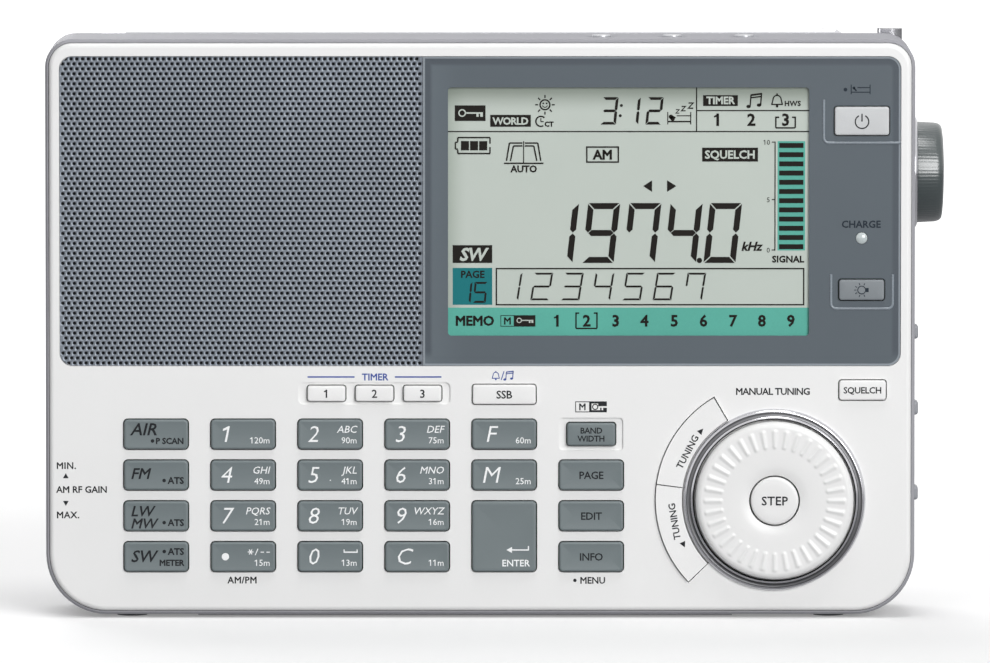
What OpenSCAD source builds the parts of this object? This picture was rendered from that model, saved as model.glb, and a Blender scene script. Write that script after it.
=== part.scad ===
/* [Cabinet] */
// Width of the rear shell
body_w = 200; // [190:1:230]
// Height of the shell above its feet
body_h = 132.6; // [130:0.2:150]
// Depth from the front panel to the rear face
body_d = 37.4; // [36:0.2:50]
// Height of the feet
foot_h = 0.8; // [0.4:0.1:3]
// Outer radius of the two lower corners
corner_low = 14; // [10:0.5:18]
// Outer radius of the two upper corners
corner_top = 6.3; // [5.5:0.1:10]
// Radius that runs round the rear edge
rear_round = 5; // [2:0.2:5.4]
// Chamfer on the front edge of the shell
shell_chamfer = 0.5; // [0.2:0.1:0.7]
// Wall of the rear shell
wall = 2; // [1.6:0.1:3]
// Step from the shell's outline in to the front panel
panel_inset = 0.85; // [0.7:0.05:1.2]
// How far the front panel stands proud of the shell's front edge
panel_proud = 1; // [0.6:0.1:2]
// Soft radius round the front panel
panel_round = 1.1; // [0.4:0.1:2]
// Wall of the front panel
face_t = 2.4; // [2.2:0.1:3.2]
// Depth of the front half behind its face
rim_d = 4; // [3.6:0.1:6]
// Radius of the four posts that screw the halves together
post_r = 3.2; // [2.6:0.1:3.4]

/* [Window recess] */
// Margin between the window recess and the cabinet's sides
recess_side = 3.25; // [3:0.05:6]
// Margin between the window recess and the cabinet's top
recess_over = 3.8; // [3.6:0.1:5]
// Bottom of the recess above the table
recess_z = 58.2; // [58:0.1:59]
// Depth of the recess
recess_d = 1.2; // [0.8:0.1:1.6]
// Corner radius of the recess
recess_r = 3; // [1:0.5:6]
// Width of the speaker grille
grille_w = 83.6; // [78:0.2:86]
// Thickness of the grille sheet
grille_t = 0.7; // [0.5:0.1:1]
// Thickness of the display window
window_t = 0.85; // [0.5:0.05:1.1]
// Margin between the grille and the display's left edge
lcd_left = 5.75; // [5:0.05:9]
// Margin between the display and the window's right edge
lcd_right = 21.15; // [21:0.05:24]
// Margin under the display
lcd_under = 7; // [6:0.1:10]
// Margin over the display
lcd_over = 7.2; // [6:0.1:10]
// Border of the display that its window covers
lcd_border = 2; // [1:0.1:2.4]

/* [Keys] */
// Corner radius of the keys
key_r = 0.9; // [0.8:0.1:1.6]
// Corner radius of the small keys
small_r = 0.6; // [0.5:0.1:1]
// Space between two columns of keys
key_space_x = 5.33; // [4:0.01:7]
// Row spacing of the grid
key_dz = 9.43; // [9.3:0.01:9.5]
// Space between two rows of keys
key_space_z = 2.63; // [1.9:0.01:3]
// Middle of the first column in from the left side
key_in = 25.4; // [24:0.1:28]
// Space between the last column and the arc keys
key_aside = 7.5; // [6.5:0.05:9]
// First row above the table
key_z0 = 42.5; // [42:0.1:42.8]
// How far the keys stand proud
key_rise = 0.9; // [0.5:0.1:1.5]
// Radius along the upper edge of a key
key_round = 0.4; // [0.2:0.05:0.7]
// Travel of every key
key_travel = 0.8; // [0.4:0.1:1]
// Gap round a key in its hole
key_gap = 0.25; // [0.2:0.05:0.4]
// Width of the retaining flange behind a key
key_flange = 0.5; // [0.35:0.05:0.5]
// Thickness of the retaining flange
flange_t = 0.8; // [0.5:0.1:1]
// Length of the peg behind the flange
peg_len = 1.2; // [0.6:0.1:2]

/* [Tuning control] */
// Centre of the tuning knob in from the right side
tune_in = 32.3; // [31.5:0.1:34]
// Centre of the tuning knob above the table
tune_z = 27.4; // [27:0.1:28]
// Gap between the tuning knob and the ring round it
tune_gap = 0.35; // [0.3:0.05:1]
// How far the tuning knob stands proud
tune_rise = 4.1; // [2.5:0.1:8]
// Outer radius of the chrome ring
ring_r = 21; // [20.8:0.1:21.2]
// Width of the chrome ring
ring_w = 2.45; // [1:0.05:2.5]
// How far the chrome ring stands proud
ring_rise = 1.6; // [0.8:0.1:3]
// Radius of the step button in the knob
step_r = 5.5; // [4:0.1:6]
// Wall of the knob's hollow hub
hub_wall = 1.4; // [1:0.1:2]
// Width of the two arc keys
arc_w = 6; // [4:0.1:6.1]
// Start angle of the arc keys
arc_angle_0 = 120.5; // [118:0.5:124]
// Angle where the arc keys meet
arc_angle_1 = 172.5; // [170:0.5:175]
// End angle of the arc keys
arc_angle_2 = 224; // [220:0.5:226]

/* [Side controls] */
// Volume knob's axis down from the top
vol_down = 31.6; // [31:0.1:33]
// Radius of the volume knob at its base
vol_r = 11.7; // [9:0.1:12.4]
// Radius of the volume knob at its face
vol_r2 = 10.3; // [8:0.1:11]
// Length of the volume knob
vol_len = 6.2; // [4:0.1:10]
// Radius of the ring under the volume knob
vol_ring_r = 13; // [12.6:0.1:13.2]
// Thickness of the ring under the volume knob
vol_ring_t = 0.9; // [0.5:0.1:1.5]
// Radius of the gain wheel in the left side
gain_r = 9; // [8:0.1:9.4]
// Thickness of the gain wheel
gain_t = 3.2; // [2:0.1:4]
// Height of the gain wheel's axis
gain_z = 29.8; // [29:0.1:31]
// Height of a slide switch
switch_h = 3.3; // [2.8:0.1:4]
// Length of a slide switch
switch_l = 5; // [4:0.1:6]
// How far a slide switch stands proud
switch_rise = 1.2; // [0.8:0.1:2]
// Travel of a slide switch to each side
switch_travel = 2; // [1:0.1:3]
// Radius of an audio socket
jack_r = 1.78; // [1.6:0.01:1.9]
// Radius of the power socket
power_jack_r = 2.8; // [2.2:0.05:3]
// Depth of the sockets
jack_depth = 13; // [9:0.5:13.5]
// First audio socket down from the top
jack_down = 29.4; // [28:0.1:32]
// Spacing of the audio sockets
jack_pitch = 12; // [11:0.1:13]
// Power socket down from the last audio socket
power_jack_down = 14; // [12:0.1:15]

/* [Antenna] */
// Radius of the outer tube
rod_r = 3.5; // [3.2:0.05:3.6]
// Wall of the outer tube
rod_wall = 0.37; // [0.3:0.01:0.4]
// Tip of the folded antenna in from the left side
tip_in = 12.1; // [8:0.1:20]
// How far the folded antenna stands above the cabinet
rod_rise = 0.9; // [0.2:0.1:1.5]
// Radius of the swivel
swivel_r = 3; // [2.6:0.1:3.2]
// Swivel axis in from the right side
swivel_in = 5; // [4.8:0.1:5.6]
// Swivel axis in from the rear face
swivel_back = 4.4; // [4.2:0.1:5]
// Length of the tip cap
cap_len = 5.5; // [3:0.1:7]
// Radius of the tip cap
cap_r = 3; // [2.7:0.1:3.3]
// Running gap between sliding tubes
tube_gap = 0.08; // [0.05:0.01:0.1]

/* [Stand and battery door] */
// Tilt stand in from the left side
stand_left = 35; // [32:0.5:50]
// Tilt stand in from the right side
stand_right = 42; // [36:0.5:50]
// Thickness of the tilt stand
stand_t = 2.6; // [2.2:0.1:3]
// Space between the stand and the battery door
stand_gap = 9.2; // [8:0.1:12]
// Battery door in from the right side
door_in = 7.5; // [7:0.1:9]
// Battery door's top edge down from the cabinet's top
door_down = 38.8; // [38:0.1:40]
// Width of the door beyond two batteries end to end
door_over = 10.5; // [10.2:0.1:12]
// Height of the door beyond two rows of batteries
door_lip = 6.4; // [6:0.1:8]
// Thickness of the battery door
door_t = 1.6; // [1.4:0.1:1.8]
// Radius of a battery
cell_r = 7.25; // [7:0.05:7.25]
// Length of a battery
cell_l = 50.5; // [48:0.5:50.5]

/* [Hidden] */
$fn = 48;
seam = 0.1;        // gap between fixed pieces
fit = 0.08;        // radial running fit of shafts, pins and tubes
play = 0.3;        // gap between moving pieces and what they pass
eps = 0.05;        // overrun of a cut through a face

// Planes, with -Y to the front and z = 0 at the table
front = -body_d/2;
rear = body_d/2;
low = foot_h;
top = foot_h + body_h;
side = body_w/2;
land = front + panel_proud;            // front edge of the shell
split = front + rim_d;                 // where the two halves meet
wall_back = front + face_t;            // inner side of the front wall
floor_y = front + recess_d;            // floor of the window recess
peg_end = wall_back + flange_t + peg_len;
board_front = peg_end + key_travel + eps;
board_t = 1.6;
board_back = board_front + board_t;

// The bounding box is centred over the origin
centre_x = (vol_ring_t + vol_len)/2;
centre_y = (front - tune_rise + rear)/2;

// Window recess: the grille to the left, the display window to the right of it
recess_w = body_w - 2*recess_side;
recess_top = top - recess_over;
recess_h = recess_top - recess_z;
recess_mid = recess_z + recess_h/2;
grille_x = -recess_w/2 + grille_w/2;
window_w = recess_w - grille_w;
window_x0 = recess_w/2 - window_w;
lcd_w = window_w - lcd_left - lcd_right;
lcd_h = recess_h - lcd_under - lcd_over;
lcd_x = window_x0 + lcd_left + lcd_w/2;
lcd_z = recess_z + lcd_under + lcd_h/2;
lcd_r = 0.8;           // corner radius of the display's opening

// Loudspeaker, as high as the recess
speaker_rim = recess_h/2 + play;
speaker_r = speaker_rim - 3;
speaker_rim_t = 1.5;
basket_r = 19;
basket_d = 11;
magnet_d = 7;
cone_d = 9;
cone_r = 10;
coil_r = 9;
coil_t = 2;

// Tuning knob, its ring and the arc keys on its left
tune_x = side - tune_in;
tune_r = ring_r - ring_w - tune_gap;
arc_r0 = ring_r + play;
arc_r = arc_r0 + arc_w;
arc_half_angle = 0.3;  // half of the gap between the arc keys, in degrees
knob_edge = 1.2;
knob_dish = 0.7;       // depth of the dish in the knob's face

// Grid of keys: six columns between the left side and the arc keys
key_x0 = key_in - side;
key_dx = (tune_x - arc_r - key_aside - key_x0 + key_space_x/2)/5.5;
key_w = key_dx - key_space_x;
key_h = key_dz - key_space_z;
function col(i) = key_x0 + i*key_dx;
function row(j) = key_z0 - j*key_dz;
enter_h = key_h + key_dz;
small_w = key_w - 3.6;
small_h = key_h - 1.6;
function key_corner(h) = h < key_h ? small_r : key_r;
peg_w = 3;
bay_d = 0.5;           // depth of the bays round the timer keys and the small key
bay_x = 4.15;          // how much wider the bay is than the timer keys
bay_z = 1.55;          // how much taller
bay_r = 1.2;
GRID_KEYS = [
  ["band_key_1", 0, 0], ["band_key_2", 0, 1], ["band_key_3", 0, 2], ["band_key_4", 0, 3],
  ["key_1", 1, 0], ["key_2", 2, 0], ["key_3", 3, 0],
  ["key_4", 1, 1], ["key_5", 2, 1], ["key_6", 3, 1],
  ["key_7", 1, 2], ["key_8", 2, 2], ["key_9", 3, 2],
  ["key_point", 1, 3], ["key_0", 2, 3], ["key_clear", 3, 3],
  ["function_key", 4, 0], ["memory_key", 4, 1],
  ["page_key", 5, 1], ["edit_key", 5, 2], ["info_key", 5, 3]
];
timer_w = 8.7;
timer_h = 3.55;
timer_x = col(2.51);
timer_dx = 11.05;
timer_z = recess_z - 6.3;
edge_x = side - 12.3;  // middle of the keys and the lamp at the window's right edge
// Front keys: name, x, z, width, height
PANEL_KEYS = [
  for (k = GRID_KEYS) [k[0], col(k[1]), row(k[2]), key_w, key_h],
  ["enter_key", col(4), (row(2) + row(3))/2, key_w, enter_h],
  ["bandwidth_key", col(5), key_z0, small_w, small_h],
  for (i = [1:3]) [str("timer_key_", i), timer_x + (i - 2)*timer_dx, timer_z, timer_w, timer_h],
  ["ssb_key", col(4), recess_z - 6.5, key_w - 0.2, 4.45],
  ["squelch_key", edge_x + 0.25, recess_z - 5.5, 10.7, 4.5]
];
// Keys that stand on the display window
WINDOW_KEYS = [
  ["power_key", edge_x, top - 18.7, 12.5, 6.5],
  ["light_key", edge_x, recess_z + 17.6, 10.4, 4.7]
];
KEYS = concat(PANEL_KEYS, WINDOW_KEYS);
led_z = recess_z + 29.5;
led_r = 1.3;
led_dome = 0.4;

// Case posts and board bosses, as x and z
POSTS = [
  [9 - side, top - 12.9], [side - 18.5, top - 28.9],
  [12 - side, low + 8.2], [side - 12, low + 8.2]
];
BOSSES = [
  [10 - side, recess_z - 8.2],
  [(col(5) + key_w/2 + tune_x - arc_r)/2, recess_z - 4.7],
  [side - 16, recess_z + 7.8],
  [(grille_x + speaker_rim + lcd_x - lcd_w/2 - lcd_border)/2, top - 11.4]
];
boss_r = 2.5;
post_seat = 2;         // y where front and rear posts meet
head_r = 2.6;
head_sink = 4;         // screw head's seat in from the rear face
screw_r = 1.4;
board_screw_r = 0.9;
board_head_r = 2.2;
board_head_t = 1.3;
slot_w = 0.5;          // cross slot of the screws

// Circuit board and the blocks on it: x, z, width, height and thickness
board_x = side - wall - 4;
board_x0 = grille_x + speaker_rim + 1;
BLOCKS = [
  [col(3.8), row(1.75), 42, 28, 3.4],
  [col(1.25), row(2), 20, 20, 1.4],
  [lcd_x, lcd_z, 30, 30, 2.6]
];

// Top buttons
TOP_X = [side - 72, side - 55.7, side - 39.1];
top_y = -4;
top_r = 2.15;
dimple_r = 3.7;
dimple_d = 0.9;
dimple_ball = (dimple_r*dimple_r + dimple_d*dimple_d)/(2*dimple_d);

// Side controls
gain_x = -side + gain_r + 0.6;
gain_y = board_back + 4.8;
gain_shaft_r = 1.5;
gain_pot_r = 5;
scoop_r = 20;
scoop_d = 1.1;
vol_z = top - vol_down;
vol_shaft_r = 3;
vol_y = 0;
pot_r = 8;
pot_x0 = side - wall - 11.5;
pot_x1 = side - wall - 0.2;
SWITCH_Z = [65.1, 47.5, 27.8];
switch_y = -3;
JACK_Z = [for (i = [0:3]) top - jack_down - i*jack_pitch];
power_jack_z = JACK_Z[3] - power_jack_down;
jack_lip = 1.1;
power_jack_lip = 0.8;
jack_y = 3;
jack_block = 7;
power_block = 9;
socket_x0 = 0.2 - side;
socket_x1 = wall - side;
socket_x2 = socket_x0 + jack_depth + 1;

// Antenna
swivel_x = side - swivel_in;
swivel_y = rear - swivel_back;
rod_z = top + rod_rise - rod_r;
rod_end = swivel_x - 12.7;              // where the tube's shoulder begins
rod_tip = tip_in - side + cap_len;
groove_z = rod_z - rod_r - play;
groove_y = swivel_y - rod_r - play;
rod_bore = rod_r - rod_wall;
mid_r = rod_bore - tube_gap;
mid_bore = mid_r - 0.55;
tip_r = mid_bore - tube_gap;
tip_bore = tip_r - 0.42;
stem_r = 2.4;
stem_len = 8.2;
stem_flange = 0.6;     // width of the flange that holds the stem in
tongue_t = 1.8;
tongue_r = 2.2;
pivot_r = 0.8;

// Stand, battery door and battery tray
cell_gap = 0.3;
cell_dz = 2*cell_r + 0.8;
door_w = 2*cell_l + door_over;
door_h = 2*cell_dz + door_lip;
door_x = side - door_in - door_w/2;
door_z0 = top - door_down - door_h;
stand_w = body_w - stand_left - stand_right;
stand_x = (stand_left - stand_right)/2;
stand_z0 = low + 1.6;
stand_h = door_z0 - stand_gap - stand_z0;
stand_barrel = stand_t/2;
stand_axis_z = stand_z0 + stand_h - stand_barrel;
stand_axis_y = rear - stand_barrel;
stand_floor = rear - stand_t - play;
hinge_pin_r = 1;
hinge_pin_l = 2;
door_barrel = 1.2;
door_axis_z = door_z0 + door_h - door_barrel;
door_axis_y = rear - door_barrel;
door_pin_r = 0.8;
tray_x0 = door_x - door_w/2 + 4;
tray_x1 = door_x + door_w/2 - 3;
cell_z0 = door_z0 + 2.9;
nub_r = 2.7;
nub_l = 1;
tray_wall = 1.2;
tray_z0 = cell_z0 - cell_gap;
tray_z1 = cell_z0 + cell_dz + 2*cell_r + cell_gap;
cell_y = rear - door_t - 0.7 - cell_r;
tray_floor = cell_y - cell_r - seam;

// Thumb notch under the stand's free edge and groove in the door
notch_r = 5;
notch_half = 9;
notch_out = 1.6;
thumb_r = 1.3;
thumb_half = 8;
thumb_out = 0.6;

FEET_X = [19.6 - side, side - 19.6];
skid_h = 0.3;
foot_l = 26;
foot_w = 7;

// ---- shared shapes ----

// Rectangle with round corners, centred on (x, z)
module rounded(x, z, w, h, r) {
  translate([x, z]) {
    square([w - 2*r, h], center = true);
    square([w, h - 2*r], center = true);
    for (i = [-1, 1], j = [-1, 1]) translate([i*(w/2 - r), j*(h/2 - r)]) circle(r);
  }
}

// Cabinet outline with its own lower and upper corner radii, drawn in by a margin
module outline(inset) {
  rb = corner_low - inset;
  rt = corner_top - inset;
  s = side - inset;
  for (i = [-1, 1]) {
    translate([i*(s - rb), low + inset + rb]) circle(rb);
    translate([i*(s - rt), top - inset - rt]) circle(rt);
  }
  translate([-s, low + inset + rb]) square([2*s, top - low - 2*inset - rb - rt]);
  translate([rb - s, low + inset]) square([2*(s - rb), rb + eps]);
  translate([rt - s, top - inset - rt - eps]) square([2*(s - rt), rt + eps]);
}

// Extrudes a shape drawn in x and z from y0 back to y1
module plate(y0, y1) {
  translate([0, y1, 0]) rotate([90, 0, 0]) linear_extrude(y1 - y0) children();
}

// Half section of a rim: radius or chamfer at the front edge, radius at the rear edge
module rim_section(reach, d, front_r, chamfer, rear_r) {
  cut = max(front_r, chamfer);
  polygon([[0, 0], [reach - cut, 0], [reach, cut], [reach, d - rear_r], [reach - rear_r, d], [0, d]]);
  if (front_r > 0) intersection() {
    translate([reach - front_r, front_r]) circle(front_r);
    translate([reach - front_r, 0]) square(front_r);
  }
  if (rear_r > 0) intersection() {
    translate([reach - rear_r, d - rear_r]) circle(rear_r);
    translate([reach - rear_r, d - rear_r]) square(rear_r);
  }
}

// Solid slab centred on x = 0, standing on z0, with its rim section carried round all four corners
module slab(w, z0, z1, rb, rt, d, front_r = 0, chamfer = 0, rear_r = 0) {
  for (i = [0, 1]) mirror([i, 0, 0]) {
    translate([w/2 - rb, 0, z0 + rb]) rotate([-90, 0, 0])
      rotate_extrude(angle = 90) rim_section(rb, d, front_r, chamfer, rear_r);
    translate([w/2 - rt, 0, z1 - rt]) mirror([0, 0, 1]) rotate([-90, 0, 0])
      rotate_extrude(angle = 90) rim_section(rt, d, front_r, chamfer, rear_r);
    translate([w/2 - rb, 0, z0 + rb]) linear_extrude(z1 - z0 - rb - rt)
      rim_section(rb, d, front_r, chamfer, rear_r);
  }
  translate([0, 0, z0 + rb]) rotate([0, 90, 0]) linear_extrude(w - 2*rb, center = true)
    rim_section(rb, d, front_r, chamfer, rear_r);
  translate([0, 0, z1 - rt]) rotate([0, -90, 0]) linear_extrude(w - 2*rt, center = true)
    rim_section(rt, d, front_r, chamfer, rear_r);
  translate([rb - w/2, 0, z0 + rb]) cube([w - 2*rb, d, z1 - z0 - rb - rt]);
}

// Round bar along Y, X or Z
module bar_y(x, z, r, y0, y1) { translate([x, y1, z]) rotate([90, 0, 0]) cylinder(r = r, h = y1 - y0); }
module bar_x(y, z, r, x0, x1) { translate([x0, y, z]) rotate([0, 90, 0]) cylinder(r = r, h = x1 - x0); }
module bar_z(x, y, r, z0, z1) { translate([x, y, z0]) cylinder(r = r, h = z1 - z0); }

module box(x0, x1, y0, y1, z0, z1) { translate([x0, y0, z0]) cube([x1 - x0, y1 - y0, z1 - z0]); }

// Moves the radio so that its bounding box is centred over the origin
module placed() { translate([-centre_x, -centre_y, 0]) children(); }

// Sector of a ring, for the arc keys
module arc_band(r0, r1, a0, a1) {
  reach = 2*r1;
  translate([tune_x, tune_z]) intersection() {
    difference() { circle(r1); circle(r0); }
    polygon([[0, 0], [reach*cos(a0), reach*sin(a0)],
             [reach*cos((a0 + a1)/2), reach*sin((a0 + a1)/2)], [reach*cos(a1), reach*sin(a1)]]);
  }
}

// Holes for the keys, enlarged by a margin
module key_holes(list, grow) {
  for (k = list) rounded(k[1], k[2], k[3] + 2*grow, k[4] + 2*grow, key_corner(k[4]) + grow);
}

module arc_holes() {
  arc_band(arc_r0 - play + seam, arc_r + key_gap,
           arc_angle_0 - arc_half_angle, arc_angle_2 + arc_half_angle);
}

// Straight stretch of the shell's lower half, solid, with its rounded rear edge
module lower_bar() {
  d = rear - land;
  translate([0, land, low + corner_low]) {
    rotate([0, 90, 0]) linear_extrude(body_w - 2*corner_low, center = true)
      rim_section(corner_low, d, 0, 0, rear_round);
    translate([corner_low - side, 0, 0]) cube([body_w - 2*corner_low, d, body_h/2]);
  }
}

// ---- cabinet ----

module front_cabinet() placed() color([0.93, 0.93, 0.94]) {
  w = body_w - 2*panel_inset;
  difference() {
    union() {
      difference() {
        translate([0, front, 0])
          slab(w, low + panel_inset, top - panel_inset, corner_low - panel_inset,
               corner_top - panel_inset, rim_d, front_r = panel_round);
        plate(wall_back, split + eps) outline(panel_inset + 1.6);
      }
      for (p = POSTS) bar_y(p[0], p[1], post_r, wall_back - eps, post_seat);
      for (p = BOSSES) bar_y(p[0], p[1], boss_r, wall_back - eps, board_front);
    }
    plate(front - eps, floor_y) rounded(0, recess_mid, recess_w, recess_h, recess_r);
    plate(front - eps, wall_back + eps) {
      key_holes(PANEL_KEYS, key_gap);
      arc_holes();
      translate([tune_x, tune_z]) circle(step_r + play + hub_wall + play);
    }
    plate(floor_y - eps, wall_back + eps) {
      key_holes(WINDOW_KEYS, key_gap);
      translate([edge_x, led_z]) circle(led_r + seam);
      translate([grille_x, recess_mid]) circle(speaker_r);
      rounded(lcd_x, lcd_z, lcd_w + 2*lcd_border + 2*seam, lcd_h + 2*lcd_border + 2*seam, lcd_r/2);
    }
    // Shallow bays round the timer keys and the small key of the last column
    plate(front - eps, front + bay_d) {
      rounded(timer_x, timer_z, 2*timer_dx + timer_w + bay_x, timer_h + bay_z, bay_r);
      rounded(col(5), key_z0, key_w, key_h + bay_z/2, key_r);
    }
    for (p = POSTS) bar_y(p[0], p[1], screw_r + seam, board_front + 4, post_seat + eps);
    for (p = BOSSES) bar_y(p[0], p[1], 1, wall_back + 0.4, board_front + eps);
  }
}

module rear_cabinet() placed() color([0.63, 0.63, 0.65]) {
  stand_pad_x = stand_w/2 + hinge_pin_l + wall;
  difference() {
    union() {
      difference() {
        translate([0, land, 0])
          slab(body_w, low, top, corner_low, corner_top, rear - land,
               chamfer = shell_chamfer, rear_r = rear_round);
        plate(land - eps, split) outline(panel_inset - seam);
        plate(split - eps, rear - wall) outline(wall);
      }
      // Backing of the stand's recess
      box(stand_x - stand_pad_x, stand_x + stand_pad_x, stand_floor - wall, rear - wall + eps,
          low + wall - eps, stand_axis_z + stand_barrel + play + wall);
      // Battery tray
      box(tray_x0 - tray_wall, tray_x1 + tray_wall, tray_floor - tray_wall, rear - wall + eps,
          tray_z0 - tray_wall, tray_z1 + tray_wall);
      // Backing of the door's hinge
      box(door_x - door_w/2 - hinge_pin_l - wall, door_x + door_w/2 + hinge_pin_l,
          rear - wall - 1.5, rear - wall + eps, door_axis_z - 3, door_axis_z + 3.5);
      // Antenna groove walls and swivel boss
      intersection() {
        box(-side, side - eps, groove_y - wall, rear - eps, groove_z - wall, top - eps);
        translate([0, land, 0])
          slab(body_w, low, top, corner_low, corner_top, rear - land, rear_r = rear_round);
      }
      bar_z(swivel_x, swivel_y, swivel_r + 1.2, groove_z - stem_len + play, groove_z - eps);
      for (p = POSTS) bar_y(p[0], p[1], head_r + 1.6, post_seat, rear - wall + eps);
      // Feet and the shallow skid between them
      for (x = FEET_X) foot(x);
      box(stand_x - stand_w/2, stand_x + stand_w/2, land + 1.5, rear - rear_round - 1,
          low - skid_h, low + eps);
    }
    // Antenna groove, open to the top, the rear and both sides, so that the tubes slide out of it
    box(-side - 1, side + 1, groove_y, rear + 1, groove_z, top + 1);
    bar_z(swivel_x, swivel_y, stem_r + fit, groove_z - stem_len - 1, groove_z + eps);
    bar_z(swivel_x, swivel_y, stem_r + stem_flange + play, groove_z - stem_len - 1 - play,
          groove_z - stem_len + play);
    // Stand recess and its hinge holes
    box(stand_x - stand_w/2 - play, stand_x + stand_w/2 + play, stand_floor, rear + 1,
        stand_z0 - play, stand_axis_z + stand_barrel + play);
    bar_x(stand_axis_y, stand_axis_z, hinge_pin_r + fit, stand_x - stand_w/2 - hinge_pin_l - play,
          stand_x + stand_w/2 + hinge_pin_l + play);
    // Thumb notch under the stand's free edge
    bar_x(rear + notch_out, stand_z0 - 1, notch_r, stand_x - notch_half, stand_x + notch_half);
    // Door recess, its hinge holes and the tray's hollow
    box(door_x - door_w/2 - play, door_x + door_w/2 + play, rear - door_t - seam, rear + 1,
        door_z0 - play, door_axis_z + door_barrel + play);
    box(door_x - door_w/2 - play, door_x + door_w/2 + play, door_axis_y - door_barrel - play,
        rear, door_axis_z - door_barrel - play, door_axis_z + door_barrel + play);
    bar_x(door_axis_y, door_axis_z, door_pin_r + fit, door_x - door_w/2 - hinge_pin_l - play,
          door_x + door_w/2 + hinge_pin_l + play);
    box(tray_x0, tray_x1, tray_floor, rear, tray_z0, tray_z1);
    // Case screws
    for (p = POSTS) {
      bar_y(p[0], p[1], screw_r + 0.2, post_seat - eps, rear + 1);
      bar_y(p[0], p[1], head_r + 0.3, rear - head_sink, rear + 1);
    }
    // Top buttons in their dimples
    for (x = TOP_X) {
      bar_z(x, top_y, top_r + play, top - wall - 1, top + 1);
      translate([x, top_y, top + dimple_ball - dimple_d]) sphere(dimple_ball);
    }
    // Volume shaft, slide switches, gain wheel with its scoop, and sockets
    bar_x(vol_y, vol_z, vol_shaft_r + play, side - wall - 1, side + 1);
    for (z = SWITCH_Z)
      box(side - wall - 1, side + 1, switch_y - switch_l/4 - switch_travel - play,
          switch_y + switch_l/4 + switch_travel + play, z - switch_h/4 - play, z + switch_h/4 + play);
    box(-side - 1, -side + wall + 1, gain_y - gain_t/2 - play, gain_y + gain_t/2 + play,
        gain_z - 6, gain_z + 6);
    translate([scoop_d - side - scoop_r, gain_y, gain_z]) rotate([90, 0, 0])
      cylinder(r = scoop_r, h = gain_r, center = true);
    for (z = JACK_Z) bar_x(jack_y, z, jack_r + jack_lip + seam, -side - 1, -side + wall + 1);
    bar_x(jack_y, power_jack_z, power_jack_r + power_jack_lip + seam, -side - 1, -side + wall + 1);
  }
}

// Long low foot moulded into the bottom of the shell
module foot(x) {
  for (y = [-foot_l/2 + foot_w/2, foot_l/2 - foot_w/2]) bar_z(x, y, foot_w/2, 0, low + eps);
  box(x - foot_w/2, x + foot_w/2, -foot_l/2 + foot_w/2, foot_l/2 - foot_w/2, 0, low + eps);
}

// ---- window recess ----

module speaker_grille() placed() color([0.55, 0.58, 0.62])
  plate(floor_y - grille_t, floor_y) intersection() {
    rounded(0, recess_mid, recess_w - 2*seam, recess_h - 2*seam, recess_r - seam);
    translate([-recess_w/2, recess_z]) square([grille_w - seam, recess_h]);
  }

module display_window() placed() color([0.42, 0.45, 0.49])
  plate(floor_y - window_t, floor_y) difference() {
    intersection() {
      rounded(0, recess_mid, recess_w - 2*seam, recess_h - 2*seam, recess_r - seam);
      translate([window_x0, recess_z]) square([window_w, recess_h]);
    }
    rounded(lcd_x, lcd_z, lcd_w, lcd_h, lcd_r);
    key_holes(WINDOW_KEYS, key_gap);
    translate([edge_x, led_z]) circle(led_r + seam);
  }

module lcd_panel() placed() color([0.74, 0.78, 0.74])
  plate(floor_y, board_front)
    rounded(lcd_x, lcd_z, lcd_w + 2*lcd_border, lcd_h + 2*lcd_border, lcd_r/2);

module charge_led() placed() color([0.86, 0.87, 0.88]) {
  face = floor_y - window_t;
  bar_y(edge_x, led_z, led_r, face, board_front);
  intersection() {
    ball = (led_r*led_r + led_dome*led_dome)/(2*led_dome);
    translate([edge_x, face - led_dome + ball, led_z]) sphere(ball);
    bar_y(edge_x, led_z, led_r, face - led_dome, face + eps);
  }
}

// ---- keys ----

// A key's cap passes through the wall, its flange holds it in, its peg works the switch
module key(x, z, w, h, face) {
  translate([x, face - key_rise, z])
    slab(w, -h/2, h/2, key_corner(h), key_corner(h), wall_back - face + key_rise, front_r = key_round);
  plate(wall_back, wall_back + flange_t)
    rounded(x, z, w + 2*(key_gap + key_flange), h + 2*(key_gap + key_flange), key_corner(h));
  box(x - peg_w/2, x + peg_w/2, wall_back + flange_t - eps, peg_end, z - peg_w/2, z + peg_w/2);
}

module panel_key(k) placed() color([0.47, 0.51, 0.52]) key(k[1], k[2], k[3], k[4], front);

module white_key(k) placed() color([0.92, 0.92, 0.93]) key(k[1], k[2], k[3], k[4], front);

module window_key(k) placed() color([0.62, 0.66, 0.7]) key(k[1], k[2], k[3], k[4], floor_y - window_t);

module arc_key(a0, a1) placed() color([0.92, 0.92, 0.93]) {
  mid = (a0 + a1)/2;
  peg_r = (arc_r0 + arc_r)/2;
  plate(front - key_rise, wall_back) arc_band(arc_r0, arc_r, a0 + arc_half_angle, a1 - arc_half_angle);
  plate(wall_back, wall_back + flange_t)
    arc_band(arc_r0 - key_flange, arc_r + key_gap + key_flange,
             a0 + arc_half_angle, a1 - arc_half_angle);
  bar_y(tune_x + peg_r*cos(mid), tune_z + peg_r*sin(mid), peg_w/2, wall_back + flange_t - eps, peg_end);
}

// ---- tuning control ----

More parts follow.
